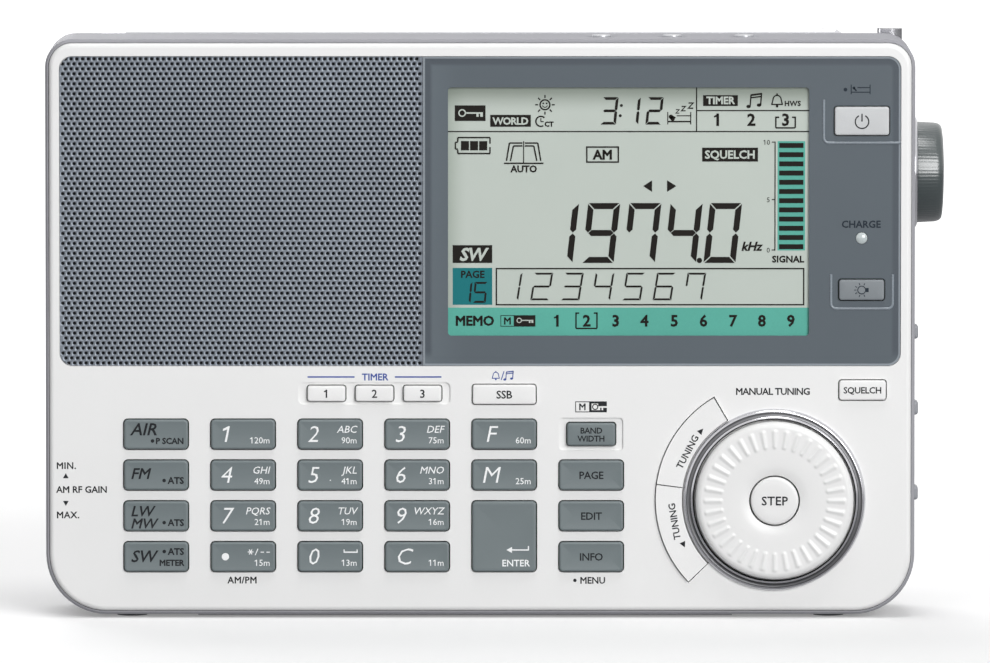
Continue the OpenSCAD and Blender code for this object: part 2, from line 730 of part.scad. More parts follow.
module trim_rings() placed() color([0.85, 0.85, 0.87]) {
  bead = ring_w/2;
  // Ring round the tuning knob, half round on top
  translate([tune_x, front, tune_z]) rotate([90, 0, 0]) rotate_extrude() {
    translate([ring_r - ring_w, 0]) square([ring_w, ring_rise - bead]);
    intersection() {
      translate([ring_r - bead, ring_rise - bead]) circle(bead);
      translate([ring_r - ring_w, 0]) square([ring_w, ring_rise]);
    }
  }
  // Ring under the volume knob
  difference() {
    bar_x(vol_y, vol_z, vol_ring_r, side, side + vol_ring_t);
    bar_x(vol_y, vol_z, vol_shaft_r + play, side - 1, side + vol_ring_t + 1);
  }
}

module tuning_knob() placed() color([0.9, 0.9, 0.91])
  translate([tune_x, front, tune_z]) rotate([90, 0, 0]) rotate_extrude() {
    bore = step_r + play;
    hub = bore + hub_wall;
    dish = tune_r - 2;
    base = play;
    difference() {
      union() {
        translate([bore, base]) square([tune_r - bore, tune_rise - knob_edge - base]);
        translate([bore, base]) square([tune_r - knob_edge - bore, tune_rise - base]);
        translate([tune_r - knob_edge, tune_rise - knob_edge]) circle(knob_edge);
        translate([bore, front - peg_end]) square([hub_wall, peg_end - front + base + eps]);
      }
      // Shallow dish inside the rim
      polygon([[bore - eps, tune_rise - knob_dish], [dish - 4, tune_rise - knob_dish], [dish, tune_rise],
               [dish, tune_rise + 1], [bore - eps, tune_rise + 1]]);
    }
  }

module step_button() placed() color([0.92, 0.92, 0.93])
  translate([tune_x, front, tune_z]) rotate([90, 0, 0]) rotate_extrude() {
    crown = tune_rise - 0.3;
    translate([0, front - peg_end]) square([step_r, peg_end - front + crown - key_round]);
    square([step_r - key_round, crown]);
    translate([step_r - key_round, crown - key_round]) circle(key_round);
  }

// ---- top and side controls ----

module top_button(x) placed() color([0.75, 0.75, 0.77]) {
  bar_z(x, top_y, top_r, top - wall - eps, top + 0.3);
  bar_z(x, top_y, top_r + play + key_flange, top - wall - flange_t, top - wall);
  bar_z(x, top_y, 1.2, top - wall - flange_t - peg_len, top - wall - flange_t + eps);
}

module volume_knob() placed() color([0.36, 0.38, 0.38]) {
  x0 = side + vol_ring_t + seam;
  x1 = side + vol_ring_t + vol_len;
  edge = 1;
  translate([x0, vol_y, vol_z]) rotate([0, 90, 0]) {
    cylinder(r1 = vol_r, r2 = vol_r2, h = x1 - x0 - edge);
    translate([0, 0, x1 - x0 - edge - eps]) cylinder(r1 = vol_r2, r2 = vol_r2 - edge, h = edge + eps);
  }
  bar_x(vol_y, vol_z, vol_shaft_r, pot_x0 + 1, x0 + eps);
}

module gain_wheel() placed() color([0.3, 0.31, 0.32]) {
  bar_y(gain_x, gain_z, gain_r, gain_y - gain_t/2, gain_y + gain_t/2);
  bar_y(gain_x, gain_z, gain_shaft_r, board_back, gain_y);
}

module side_switch(z) placed() color([0.6, 0.61, 0.62]) {
  translate([side, switch_y, z]) rotate([0, 0, 90]) translate([0, -switch_rise, 0])
    slab(switch_l, -switch_h/2, switch_h/2, 0.8, 0.8, switch_rise, front_r = 0.7);
  box(side - wall - eps, side + eps, switch_y - switch_l/4, switch_y + switch_l/4,
      z - switch_h/4, z + switch_h/4);
  box(side - wall - 0.8, side - wall, switch_y - switch_l/2 - 1, switch_y + switch_l/2 + 1,
      z - switch_h/2, z + switch_h/2);
}

// Round lip through the shell, with the socket's block behind it
module socket(z, r, lip, depth, h) {
  difference() {
    union() {
      bar_x(jack_y, z, r + lip, socket_x0, socket_x1 + eps);
      box(socket_x1, socket_x2, jack_y - jack_block/2, jack_y + jack_block/2, z - h/2, z + h/2);
    }
    bar_x(jack_y, z, r, socket_x0 - 1, socket_x0 + depth);
  }
}

module sockets() placed() color([0.12, 0.12, 0.13]) {
  for (z = JACK_Z) socket(z, jack_r, jack_lip, jack_depth, jack_block);
  socket(power_jack_z, power_jack_r, power_jack_lip, jack_depth - 2, power_block);
}

// ---- rear ----

module stand() placed() color([0.58, 0.58, 0.6]) {
  x0 = stand_x - stand_w/2;
  x1 = stand_x + stand_w/2;
  difference() {
    union() {
      intersection() {
        box(x0, x1, rear - stand_t, rear, stand_z0, stand_axis_z);
        lower_bar();
      }
      bar_x(stand_axis_y, stand_axis_z, stand_barrel, x0, x1);
      bar_x(stand_axis_y, stand_axis_z, hinge_pin_r, x0 - hinge_pin_l, x1 + hinge_pin_l);
    }
    // Finger hollow at the free edge
    bar_x(rear + notch_out, stand_z0 - 1, notch_r, stand_x - notch_half, stand_x + notch_half);
  }
}

module battery_door() placed() color([0.6, 0.6, 0.62]) {
  x0 = door_x - door_w/2;
  x1 = door_x + door_w/2;
  difference() {
    box(x0, x1, rear - door_t, rear, door_z0, door_axis_z);
    // Thumb groove along the lower edge
    bar_x(rear + thumb_out, door_z0 + 3, thumb_r, door_x - thumb_half, door_x + thumb_half);
  }
  bar_x(door_axis_y, door_axis_z, door_barrel, x0, x1);
  bar_x(door_axis_y, door_axis_z, door_pin_r, x0 - hinge_pin_l, x1 + hinge_pin_l);
}

// ---- antenna ----

module antenna_swivel() placed() color([0.8, 0.8, 0.82]) {
  slot = tongue_t/2 + seam;
  difference() {
    union() {
      bar_z(swivel_x, swivel_y, swivel_r, groove_z, rod_z + rod_r);
      bar_z(swivel_x, swivel_y, stem_r, groove_z - stem_len, groove_z + eps);
    }
    box(swivel_x - 5, swivel_x + 5, swivel_y - slot, swivel_y + slot, rod_z - tongue_r - play, top + 2);
  }
  bar_z(swivel_x, swivel_y, stem_r + stem_flange, groove_z - stem_len - 1, groove_z - stem_len + seam);
  bar_y(swivel_x, rod_z, pivot_r, swivel_y - swivel_r + 0.4, swivel_y + swivel_r - 0.4);
}

module antenna_base() placed() color([0.86, 0.86, 0.88]) {
  shoulder = 2.1;
  neck_end = swivel_x - swivel_r - 2;    // clear of the swivel's cheeks while the tube lifts
  difference() {
    union() {
      bar_x(swivel_y, rod_z, rod_r, rod_tip, rod_end);
      translate([rod_end, swivel_y, rod_z]) rotate([0, 90, 0])
        cylinder(r1 = rod_r, r2 = tongue_r, h = shoulder);
      bar_x(swivel_y, rod_z, tongue_r, rod_end + shoulder - eps, neck_end);
      box(neck_end - 0.5, swivel_x, swivel_y - tongue_t/2, swivel_y + tongue_t/2,
          rod_z - tongue_r + 0.2, rod_z + tongue_r - 0.2);
      bar_y(swivel_x, rod_z, tongue_r - 0.2, swivel_y - tongue_t/2, swivel_y + tongue_t/2);
    }
    bar_x(swivel_y, rod_z, rod_bore, rod_tip - 1, rod_end - 2);
    bar_y(swivel_x, rod_z, pivot_r + fit, swivel_y - 5, swivel_y + 5);
  }
}

module antenna_middle() placed() color([0.86, 0.86, 0.88])
  difference() {
    bar_x(swivel_y, rod_z, mid_r, rod_tip, rod_end - 4);
    bar_x(swivel_y, rod_z, mid_bore, rod_tip - 1, rod_end - 5);
  }

module antenna_tip() placed() color([0.86, 0.86, 0.88])
  difference() {
    union() {
      bar_x(swivel_y, rod_z, tip_r, rod_tip - cap_len, rod_end - 7);
      bar_x(swivel_y, rod_z, cap_r, rod_tip - cap_len, rod_tip);
    }
    bar_x(swivel_y, rod_z, tip_bore, rod_tip, rod_end - 6);
  }

// ---- inside ----

module loudspeaker() placed() color([0.2, 0.2, 0.21])
  translate([grille_x, wall_back, recess_mid]) rotate([-90, 0, 0]) {
    difference() {
      union() {
        cylinder(r = speaker_rim, h = speaker_rim_t);
        translate([0, 0, speaker_rim_t - eps]) cylinder(r1 = speaker_r - 1, r2 = basket_r, h = basket_d);
        translate([0, 0, speaker_rim_t + basket_d - 2*eps]) cylinder(r = basket_r, h = magnet_d);
      }
      // Cone and voice coil cap
      translate([0, 0, -eps]) cylinder(r1 = speaker_r - 2.5, r2 = cone_r, h = cone_d);
    }
    translate([0, 0, cone_d - 1]) cylinder(r = coil_r, h = coil_t);
  }

module circuit_board() placed() color([0.1, 0.3, 0.18]) {
  difference() {
    union() {
      plate(board_front, board_back) polygon([
        [8 - board_x, low + 5], [board_x - 8, low + 5], [board_x, low + 13],
        [board_x, recess_top - 2], [board_x0, recess_top - 2], [board_x0, recess_z - 1],
        [-board_x, recess_z - 1], [-board_x, low + 13]]);
      // Encoder round the tuning hub
      bar_y(tune_x, tune_z, step_r + play + hub_wall + 3, wall_back + 0.8, board_front + eps);
      // Shield can, processor and tuner block
      for (b = BLOCKS)
        box(b[0] - b[2]/2, b[0] + b[2]/2, board_back - eps, board_back + b[4],
            b[1] - b[3]/2, b[1] + b[3]/2);
      // Volume control with its bracket, and gain control
      box(pot_x0, pot_x1, board_back - eps, vol_y, vol_z - 6, vol_z + 6);
      bar_x(vol_y, vol_z, pot_r, pot_x0, pot_x1);
      bar_y(gain_x, gain_z, gain_pot_r, board_back - eps, gain_y - gain_t/2 - play);
    }
    bar_x(vol_y, vol_z, vol_shaft_r + fit, pot_x0 + 0.9, pot_x1 + 1);
    bar_y(gain_x, gain_z, gain_shaft_r + fit, board_back - seam, gain_y);
    bar_y(tune_x, tune_z, step_r + play + hub_wall + fit, wall_back, board_front);
    for (p = POSTS) bar_y(p[0], p[1], post_r + play, board_front - 1, board_back + 1);
    for (p = BOSSES) bar_y(p[0], p[1], board_screw_r + play, board_front - 1, board_back + 1);
  }
  // Small board that the sockets stand on
  box(socket_x2, socket_x2 + 1, jack_y - jack_block/2 - 1.5, jack_y + jack_block/2 + 1.5,
      power_jack_z - power_block/2 - 1.5, JACK_Z[0] + jack_block/2 + 1.5);
}

module batteries() placed() color([0.75, 0.6, 0.3])
  for (i = [0, 1], j = [0, 1]) {
    x0 = (tray_x0 + tray_x1)/2 + (i - 1)*cell_l + (i == 0 ? -cell_gap : cell_gap);
    z = cell_z0 + cell_r + j*cell_dz;
    bar_x(cell_y, z, cell_r, x0 + nub_l, x0 + cell_l);
    bar_x(cell_y, z, nub_r, x0, x0 + nub_l + eps);
  }

module screws() placed() color([0.7, 0.7, 0.72]) {
  for (p = POSTS) difference() {
    union() {
      bar_y(p[0], p[1], head_r, rear - head_sink, rear - head_sink + 2);
      bar_y(p[0], p[1], screw_r, board_back + 4, rear - head_sink + eps);
    }
    cross(p, rear - head_sink + 2);
  }
  for (p = BOSSES) difference() {
    union() {
      bar_y(p[0], p[1], board_head_r, board_back, board_back + board_head_t);
      bar_y(p[0], p[1], board_screw_r, wall_back + 0.6, board_back + eps);
    }
    cross(p, board_back + board_head_t);
  }
}

// Cross slot in a screw head whose top is at y
module cross(p, y) {
  for (a = [0, 90]) translate([p[0], y, p[1]]) rotate([0, a, 0]) cube([head_r, 1.6, slot_w], center = true);
}

// ---- nodes ----

front_cabinet();
rear_cabinet();
speaker_grille();
display_window();
lcd_panel();
trim_rings();
tuning_knob();
step_button();
arc_key(arc_angle_0, arc_angle_1);  // tuning_up_key
arc_key(arc_angle_1, arc_angle_2);  // tuning_down_key
for (k = PANEL_KEYS) union() {
  if (k[4] < 5) white_key(k);
  else panel_key(k);
}
for (k = WINDOW_KEYS) window_key(k);
charge_led();
for (i = [1:3]) top_button(TOP_X[i - 1]);
volume_knob();
gain_wheel();
for (i = [1:3]) side_switch(SWITCH_Z[i - 1]);
stand();
battery_door();
antenna_swivel();
antenna_base();
antenna_middle();
antenna_tip();
loudspeaker();
circuit_board();
batteries();
sockets();
screws();
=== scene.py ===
import math

import bpy
import numpy as np
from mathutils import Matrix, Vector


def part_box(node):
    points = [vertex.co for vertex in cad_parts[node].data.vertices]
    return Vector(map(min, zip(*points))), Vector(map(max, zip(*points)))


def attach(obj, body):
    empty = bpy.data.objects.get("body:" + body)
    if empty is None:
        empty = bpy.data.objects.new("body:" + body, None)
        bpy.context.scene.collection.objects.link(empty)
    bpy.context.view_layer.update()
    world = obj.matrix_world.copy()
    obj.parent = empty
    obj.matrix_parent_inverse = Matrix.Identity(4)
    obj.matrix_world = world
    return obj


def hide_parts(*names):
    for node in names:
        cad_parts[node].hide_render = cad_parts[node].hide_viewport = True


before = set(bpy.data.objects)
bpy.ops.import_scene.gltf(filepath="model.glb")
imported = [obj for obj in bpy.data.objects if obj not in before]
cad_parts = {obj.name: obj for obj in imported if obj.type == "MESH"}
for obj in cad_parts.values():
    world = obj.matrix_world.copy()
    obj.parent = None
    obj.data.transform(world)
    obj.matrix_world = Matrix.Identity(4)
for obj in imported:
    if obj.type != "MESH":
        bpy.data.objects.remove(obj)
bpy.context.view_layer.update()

# ---- Room ----
# A plain pale studio: a long white table, a faint even sky, and soft boxes overhead, in front and
# behind. The camera stands far off behind a long lens, a little above the middle.

MM = 1e-3
SEEN_WIDE, SEEN_AT = 227.7, (3.4, 66.2)     # width of the view, and its middle on the front, in mm
shell_low, shell_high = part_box("rear_cabinet")
MIDDLE = (shell_low[0] + shell_high[0]) / 2
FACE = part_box("front_cabinet")[0][1]      # plane of the front panel


def across(x):
    """Place across the front, from millimetres to the right of the radio's middle."""
    return MIDDLE + np.asarray(x, float) * MM


def up(z):
    """Height, from millimetres above the table."""
    return np.asarray(z, float) * MM


class Tone:
    """One socket among a material's nodes. Sums on it add Math nodes, node() adds any other."""

    def __init__(self, tree, socket=None):
        self.tree, self.socket = tree, socket

    def node(self, kind, settings=None, inputs=None, out=0):
        """Adds a node: its settings first, then a value or a link for each socket named."""
        made = self.tree.nodes.new("ShaderNode" + kind)
        for name, value in (settings or {}).items():
            if name == "stops":
                ramp = made.color_ramp.elements
                while len(ramp) < len(value):
                    ramp.new(1.0)
                for stop, (place, shade) in zip(ramp, value):
                    stop.position, stop.color = place, shade
            else:
                setattr(made, name, value)
        for place, value in (inputs or {}).items():
            if isinstance(value, Tone):
                self.tree.links.new(value.socket, made.inputs[place])
            else:
                made.inputs[place].default_value = value
        return Tone(self.tree, made.outputs[out])

    def math(self, how, *terms):
        return self.node("Math", {"operation": how}, dict(enumerate(terms)))

    def __add__(self, other):
        return self.math("ADD", self, other)

    def __sub__(self, other):
        return self.math("SUBTRACT", self, other)

    def __rsub__(self, other):
        return self.math("SUBTRACT", other, self)

    def __mul__(self, other):
        return self.math("MULTIPLY", self, other)

    __radd__, __rmul__ = __add__, __mul__

    def over(self, edge, soft):
        """0 below the edge, 1 above it, with a soft step between."""
        return self.node("MapRange", {"interpolation_type": "SMOOTHSTEP"},
                         {"Value": self, "From Min": edge - soft, "From Max": edge + soft})

    def blend(self, first, second):
        """The first colour where this is 0 and the second where it is 1."""
        return self.node("Mix", {"data_type": "RGBA"}, {0: self, 6: first, 7: second}, 2)

    def noise(self, size, detail=2.0):
        """Cloudy pattern from 0 to 1 whose lumps are about that size, in metres."""
        return self.node("TexNoise", None, {"Vector": self, "Scale": 1 / size, "Detail": detail})

    def axes(self):
        """The three parts of a vector."""
        split = self.node("SeparateXYZ", None, {0: self}).socket.node
        return [Tone(self.tree, out) for out in split.outputs]


def ink(red, green, blue):
    """A colour written as 0 to 255, as the shader wants it."""
    parts = np.array([red, green, blue]) / 255
    parts = np.where(parts <= 0.04045, parts / 12.92, ((parts + 0.055) / 1.055) ** 2.4)
    return (*parts.tolist(), 1.0)


class Finish:
    """A material with its Principled shader, and the object's own coordinates as place."""

    def __init__(self, name, **plain):
        self.material = bpy.data.materials.new(name)
        self.material.use_nodes = True
        self.tree = self.material.node_tree
        self.shader = self.tree.nodes["Principled BSDF"]
        self.place = Tone(self.tree).node("TexCoord", out="Object")
        for name, value in plain.items():
            self.shader.inputs[name.replace("_", " ")].default_value = value

    def feed(self, **tones):
        """Links each tone to the shader's socket of that name."""
        for name, tone in tones.items():
            self.tree.links.new(tone.socket, self.shader.inputs[name.replace("_", " ")])

    def bump(self, height, depth):
        """Raises the surface where the height is 1, by depth in metres."""
        self.feed(Normal=self.place.node("Bump", None, {"Height": height, "Distance": depth}))


camera = bpy.data.objects.new("camera", bpy.data.cameras.new("camera"))
bpy.context.scene.collection.objects.link(camera)
bpy.context.scene.camera = camera
RISE, FAR = math.radians(4.3), 3.0      # how high the camera looks from, and how far off in metres
aim = np.array([across(SEEN_AT[0]), FACE, up(SEEN_AT[1])])
camera.location = aim + FAR * np.array([0, -math.cos(RISE), math.sin(RISE)])
camera.rotation_euler = (math.pi / 2 - RISE, 0, 0)
camera.data.lens = camera.data.sensor_width * FAR / (SEEN_WIDE * MM)
camera.data.clip_end = 30
bpy.context.scene.view_settings.view_transform = "Standard"

TABLE = 8           # half the table's width, in metres
GLOW_NEAR, GLOW_FAR = 0.2, 0.97     # share of plain white light round the radio, and far off
table = bpy.data.meshes.new("table")
table.from_pydata([(-TABLE, -TABLE, 0), (TABLE, -TABLE, 0), (TABLE, TABLE, 0), (-TABLE, TABLE, 0)],
                  [], [(0, 1, 2, 3)])
table = bpy.data.objects.new("table", table)
bpy.context.scene.collection.objects.link(table)
white = Finish("table_white", Roughness=0.9, Specular_IOR_Level=0.1)
seen = white.place.node("LightPath", out="Is Camera Ray")
white.feed(Base_Color=seen.blend(ink(172, 172, 174), ink(250, 250, 250)))
glow = white.place.node("Emission", None, {"Strength": 1.3})
x, y, _ = white.place.axes()
far = x.math("SQRT", x * x + y * y).over(0.5, 0.34)
lit = Tone(white.tree, white.shader.outputs[0])
share = seen * (far * (GLOW_FAR - GLOW_NEAR) + GLOW_NEAR)
mixed = white.place.node("MixShader", None, {0: share, 1: lit, 2: glow})
white.tree.links.new(mixed.socket, white.tree.nodes["Material Output"].inputs[0])
table.data.materials.append(white.material)

sky = bpy.data.worlds.new("sky")
bpy.context.scene.world = sky
sky.use_nodes = True
sky.node_tree.nodes.clear()
air = Tone(sky.node_tree)
light_path = air.node("LightPath").socket.node.outputs
camera_ray, glossy_ray, through_ray = (Tone(air.tree, light_path[name]) for name in (
    "Is Camera Ray", "Is Glossy Ray", "Is Transmission Ray"))
shown = air.math("MAXIMUM", camera_ray, air.math("MAXIMUM", glossy_ray, through_ray))
even = air.node("Background", None, {"Color": (0.98, 0.98, 1, 1), "Strength": 0.22})
plain_white = air.node("Background", None, {"Color": (1, 1, 1, 1), "Strength": 1})
backdrop = air.node("MixShader", None, {0: shown, 1: even, 2: plain_white})
surface = sky.node_tree.nodes.new("ShaderNodeOutputWorld")
sky.node_tree.links.new(backdrop.socket, surface.inputs[0])

# A box overhead, a low one in front on the right, and a high and a low one behind for the back
for name, size, power, place in (
        ("over_box", 0.5, 5, (0.1, -0.35, 1.3)), ("front_box", 1.2, 37.5, (0.9, -2.0, 0.8)),
        ("back_box", 1.0, 10, (-0.3, 1.0, 1.4)), ("low_back_box", 0.9, 12, (-0.6, 2.0, 0.6))):
    lamp = bpy.data.lights.new(name, "AREA")
    lamp.size, lamp.energy = size, power
    lamp = bpy.data.objects.new(name, lamp)
    lamp.location = place
    lamp.rotation_euler = lamp.location.to_track_quat("Z", "Y").to_euler()
    bpy.context.scene.collection.objects.link(lamp)

# ---- Front panel ----
# A white satin moulding, let into the grey shell and pressed through with the holes for the
# keys. Its marks are printed on the face in thin dark and blue ink.

INK_SKIN = 0.03e-3      # thickness of a print
CAPITAL = 0.682         # height of a capital in type of size 1


def moulded(name, rgb, rough=0.42, grain=0.35e-3, relief=4e-6, drift=0.02, **plain):
    """Satin plastic: the colour drifts slowly, and a fine grain breaks the gloss and the face."""
    made = Finish(name, **plain)
    slow, fine = made.place.noise(22e-3), made.place.noise(grain, 1.0)
    dark = ink(*(np.array(rgb) * (1 - drift)))
    light = ink(*np.minimum(np.array(rgb) * (1 + drift), 255))
    made.feed(Base_Color=(slow * 0.7 + fine * 0.3).over(0.5, 0.35).blend(dark, light),
              Roughness=fine * 0.12 + (rough - 0.06))
    made.bump(fine, relief)
    return made.material


def dress(node, material):
    """Gives a CAD node's own object that material."""
    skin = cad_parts[node].data.materials
    skin.clear()
    skin.append(material)


def piece(name, points, faces, material, body, slot, soft=40):
    """Puts points and faces into a mesh that rides on a body.

    Edges that turn by more than soft degrees stay crisp."""
    mesh = bpy.data.meshes.new(name)
    mesh.from_pydata(np.asarray(points, float).tolist(), [], [list(map(int, f)) for f in faces])
    mesh.shade_smooth()
    mesh.set_sharp_from_angle(angle=math.radians(soft))
    mesh.materials.append(material)
    made = bpy.data.objects.new(name, mesh)
    bpy.context.scene.collection.objects.link(made)
    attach(made, body)
    return made


class Print:
    """Flat shapes in front millimetres, gathered and then laid on a face as one thin closed skin."""

    def __init__(self):
        self.points, self.faces, self.count = [], [], 0

    def add(self, points, faces):
        """Takes points and faces, whose numbers move on by the points already there."""
        self.points.append(np.asarray(points, float))
        self.faces += [[self.count + int(i) for i in face] for face in faces]
        self.count += len(points)

    def shape(self, *corners):
        self.add(corners, [range(len(corners))])

    def block(self, left, top, right, foot):
        """A filled rectangle."""
        self.shape((left, top), (right, top), (right, foot), (left, foot))

    def line(self, x0, z0, x1, z1, wide):
        """A straight stroke: its two ends, each moved half the width to both sides."""
        run = np.array([x1 - x0, z1 - z0])
        side = np.array([-run[1], run[0]]) * wide / 2 / np.hypot(*run)
        start, end = np.array([x0, z0]), np.array([x1, z1])
        self.shape(start + side, end + side, end - side, start - side)

    def frame(self, left, top, right, foot, wide):
        """A rectangle's border: four strips of that width inside its edges."""
        self.block(left, top, right, top - wide)
        self.block(left, foot + wide, right, foot)
        self.block(left, top - wide, left + wide, foot + wide)
        self.block(right - wide, top - wide, right, foot + wide)

    def disc(self, x, z, radius, sides=20, squash=1.0):
        """A disc whose rim is radius (cos a, squash sin a) round its middle."""
        turn = np.arange(sides) * 2 * np.pi / sides
        self.shape(*np.stack([x + radius * np.cos(turn), z + squash * radius * np.sin(turn)], 1))

    def ring(self, x, z, radius, wide, start=0, end=360, sides=24):
        """A band of a circle: angles run anticlockwise from the right, in degrees."""
        turn = np.radians(np.linspace(start, end, sides + 1))
        rays = np.stack([np.cos(turn), np.sin(turn)], 1)
        points = np.concatenate([rays * (radius - wide / 2), rays * (radius + wide / 2)])
        n = sides + 1
        self.add(points + (x, z), [(i, i + 1, n + i + 1, n + i) for i in range(sides)])

    def words(self, text, x, z, tall, lean=0.0, turn=0.0, bold=0.0, side="CENTER", tight=1.0):
        """Plain lettering whose capitals are that tall, its middle line at (x, z).

        To make it bold, each point moves out along the mitre of its two edges' normals."""
        line = bpy.data.curves.new("words", "FONT")
        line.body, line.size, line.shear = text, tall / CAPITAL, lean
        line.align_x, line.resolution_u, line.space_character = side, 2, tight
        carrier = bpy.data.objects.new("words", line)
        flat = carrier.to_mesh()
        points = np.empty(len(flat.vertices) * 3)
        flat.vertices.foreach_get("co", points)
        faces = [list(face.vertices) for face in flat.polygons]
        carrier.to_mesh_clear()
        bpy.data.objects.remove(carrier)
        bpy.data.curves.remove(line)
        points = points.reshape(-1, 3)[:, :2]
        flags = flagged(points, faces, lean) if "1" in text else []
        if bold:
            points = points + bold * mitres(points, faces)
        for flag in flags:
            faces.append([len(points) + i for i in range(4)])
            points = np.concatenate([points, flag])
        angle = math.radians(turn)
        spin = np.array([[math.cos(angle), math.sin(angle)], [-math.sin(angle), math.cos(angle)]])
        self.add((points - (0, tall / 2)) @ spin + (x, z), faces)

    def figures(self, text, left, top, wide, tall, stroke, lean=0.1, pitch=None):
        """Seven-bar figures from the upper left corner: a digit's bars are a to g.

        The bars are mitred where they meet, and part by 0.14 of their width."""
        bars = {"0": "abcdef", "1": "bc", "2": "abged", "3": "abgcd", "4": "fgbc", "5": "afgcd",
                "6": "afgedc", "7": "abcf", "8": "abcdefg", "9": "abcdfg"}
        gap, mid = stroke * 0.14, tall / 2
        tip, cut = (stroke + gap) / 2, stroke + gap / 2
        upright = np.array([(0, gap), (stroke, stroke + gap), (stroke, mid - tip),
                            (stroke / 2, mid - gap / 2), (0, mid - tip)])
        level = np.array([(gap, 0), (wide - gap, 0), (wide - stroke - gap, stroke),
                          (stroke + gap, stroke)])
        lies = np.array([(tip, mid), (cut, mid - stroke / 2), (wide - cut, mid - stroke / 2),
                         (wide - tip, mid), (wide - cut, mid + stroke / 2), (cut, mid + stroke / 2)])
        flip_x, flip_y = np.array([(wide, 0), (-1, 1)]), np.array([(0, tall), (1, -1)])
        shapes = {"a": level, "d": flip_y[0] + flip_y[1] * level, "g": lies, "f": upright,
                  "b": flip_x[0] + flip_x[1] * upright, "e": flip_y[0] + flip_y[1] * upright,
                  "c": (wide, tall) - upright}
        for place, digit in enumerate(text):
            for bar in bars[digit]:
                start = left + place * (pitch or wide * 1.25)
                self.shape(*[(start + x + lean * (tall - y), top - y) for x, y in shapes[bar]])

    def lay(self, name, face, material, body, slot, skin=INK_SKIN):
        """Lays the shapes on a plane y = face, or on a face given as a function of x and z.

        The skin stands that thick in front of the face, with walls along every free edge."""
        flat = np.concatenate(self.points)
        x, z = across(flat[:, 0]), up(flat[:, 1])
        y = face(x, z) if callable(face) else np.full(len(x), face)
        n, faces = len(x), []
        for corners in self.faces:
            fx, fz = x[corners], z[corners]
            area = np.sum(fx * np.roll(fz, -1) - fz * np.roll(fx, -1))
            faces.append(corners if area > 0 else corners[::-1])
        walls = [(b, a, a + n, b + n) for a, b in free_edges(faces)]
        return piece(name, np.concatenate([np.stack([x, y - skin, z], 1), np.stack([x, y, z], 1)]),
                     faces + [[i + n for i in f[::-1]] for f in faces] + walls,
                     material, body, slot, soft=30)


def flagged(points, faces, lean):
    """The flag of every plain upright 1: a short stroke falling to the left from its top."""
    group = np.arange(len(points))
    for face in faces + faces[::-1]:
        group[face] = group[face].min()
    found = []
    for first in np.unique(group):
        bar = points[group == first]
        if len(bar) == 4:
            wide, tall = np.ptp((bar - bar[:, 1:] * (lean, 0))[:, 0]), bar[:, 1].max()
            left = bar[:, 0][bar[:, 1] > tall / 2].min()
            flag = np.array([(0.4 * wide, 0), (-0.25 * tall, -0.17 * tall), (-0.25 * tall, -0.31 * tall),
                             (0.4 * wide, -0.2 * tall)])
            found.append(flag + flag[:, 1:] * (lean, 0) + (left, tall))
    return found


def free_edges(faces):
    """The directed edges that only one face has."""
    edges = np.array([(a, b) for f in faces for a, b in zip(f, f[1:] + f[:1])])
    _, first, uses = np.unique(np.sort(edges, axis=1), axis=0, return_index=True,
                               return_counts=True)
    return edges[first[uses == 1]]


def mitres(points, faces):
    """For each point, the way out from its shape: the sum of its two free edges' normals over
    one plus their product, and no longer than 1.6."""
    free = free_edges(faces)
    run = points[free[:, 1]] - points[free[:, 0]]
    length = np.hypot(*run.T)[:, None]
    normal = np.stack([run[:, 1], -run[:, 0]], 1) / np.maximum(length, 1e-9)
    before, after = np.zeros_like(points), np.zeros_like(points)
    before[free[:, 1]], after[free[:, 0]] = normal, normal
    both = (before + after) / (1 + np.sum(before * after, 1, keepdims=True)).clip(0.3)
    size = np.hypot(*both.T)[:, None]
    return both / np.maximum(size / 1.6, 1)


panel_white = moulded("panel_white", (239, 239, 238), rough=0.38, relief=2e-6, drift=0.006)
dress("front_cabinet", panel_white)
dark_ink = moulded("dark_ink", (32, 34, 37), rough=0.55, drift=0.08, Specular_IOR_Level=0.2)
blue_ink = moulded("blue_ink", (44, 74, 154), rough=0.5, drift=0.05)

marks = Print()
MARK_H = 1.45           # height of the small capitals by the gain wheel and over the keys
for text, z, tight in (("MIN.", 35.24, 1.08), ("AM RF GAIN", 29.72, 1.0), ("MAX.", 23.85, 1.08)):
    marks.words(text, -97.57, z, MARK_H, bold=0.05, side="LEFT", tight=tight)
marks.shape((-96.05, 32.34), (-95.4, 33.49), (-94.76, 32.34))
marks.shape((-96.05, 27.09), (-94.76, 27.09), (-95.4, 25.94))
marks.words("AM/PM", -54.79, 8.79, MARK_H, bold=0.05, tight=1.08)
marks.words("MENU", 22.95, 8.72, MARK_H, bold=0.05, side="LEFT")
marks.disc(21.8, 8.72, 0.4, 12)
marks.words("MANUAL TUNING", 67.34, 52.37, 1.5, bold=0.05, tight=0.93)
# Boxed letter and key over the bandwidth key
marks.frame(21.87, 50.07, 25.25, 47.56, 0.18)
marks.words("M", 23.51, 48.81, 1.47, bold=0.05)
marks.block(25.25, 50.07, 29.14, 49.59)
marks.block(25.25, 48.05, 29.14, 47.56)
marks.block(25.25, 49.59, 25.62, 48.05)
marks.ring(26.45, 48.81, 0.6, 0.23)
marks.block(27.14, 49.59, 29.14, 48.97)
marks.block(27.6, 48.6, 27.92, 48.05)
marks.block(28.29, 48.6, 29.14, 48.05)
marks.lay("front_marks", FACE, dark_ink, "cabinet", "panel_white")

marks = Print()
marks.words("TIMER", -24.2, 55.71, 1.5, bold=0.05)
for left, right in ((-39.72, -28.91), (-19.64, -8.92)):
    marks.block(left, 55.87, right, 55.55)


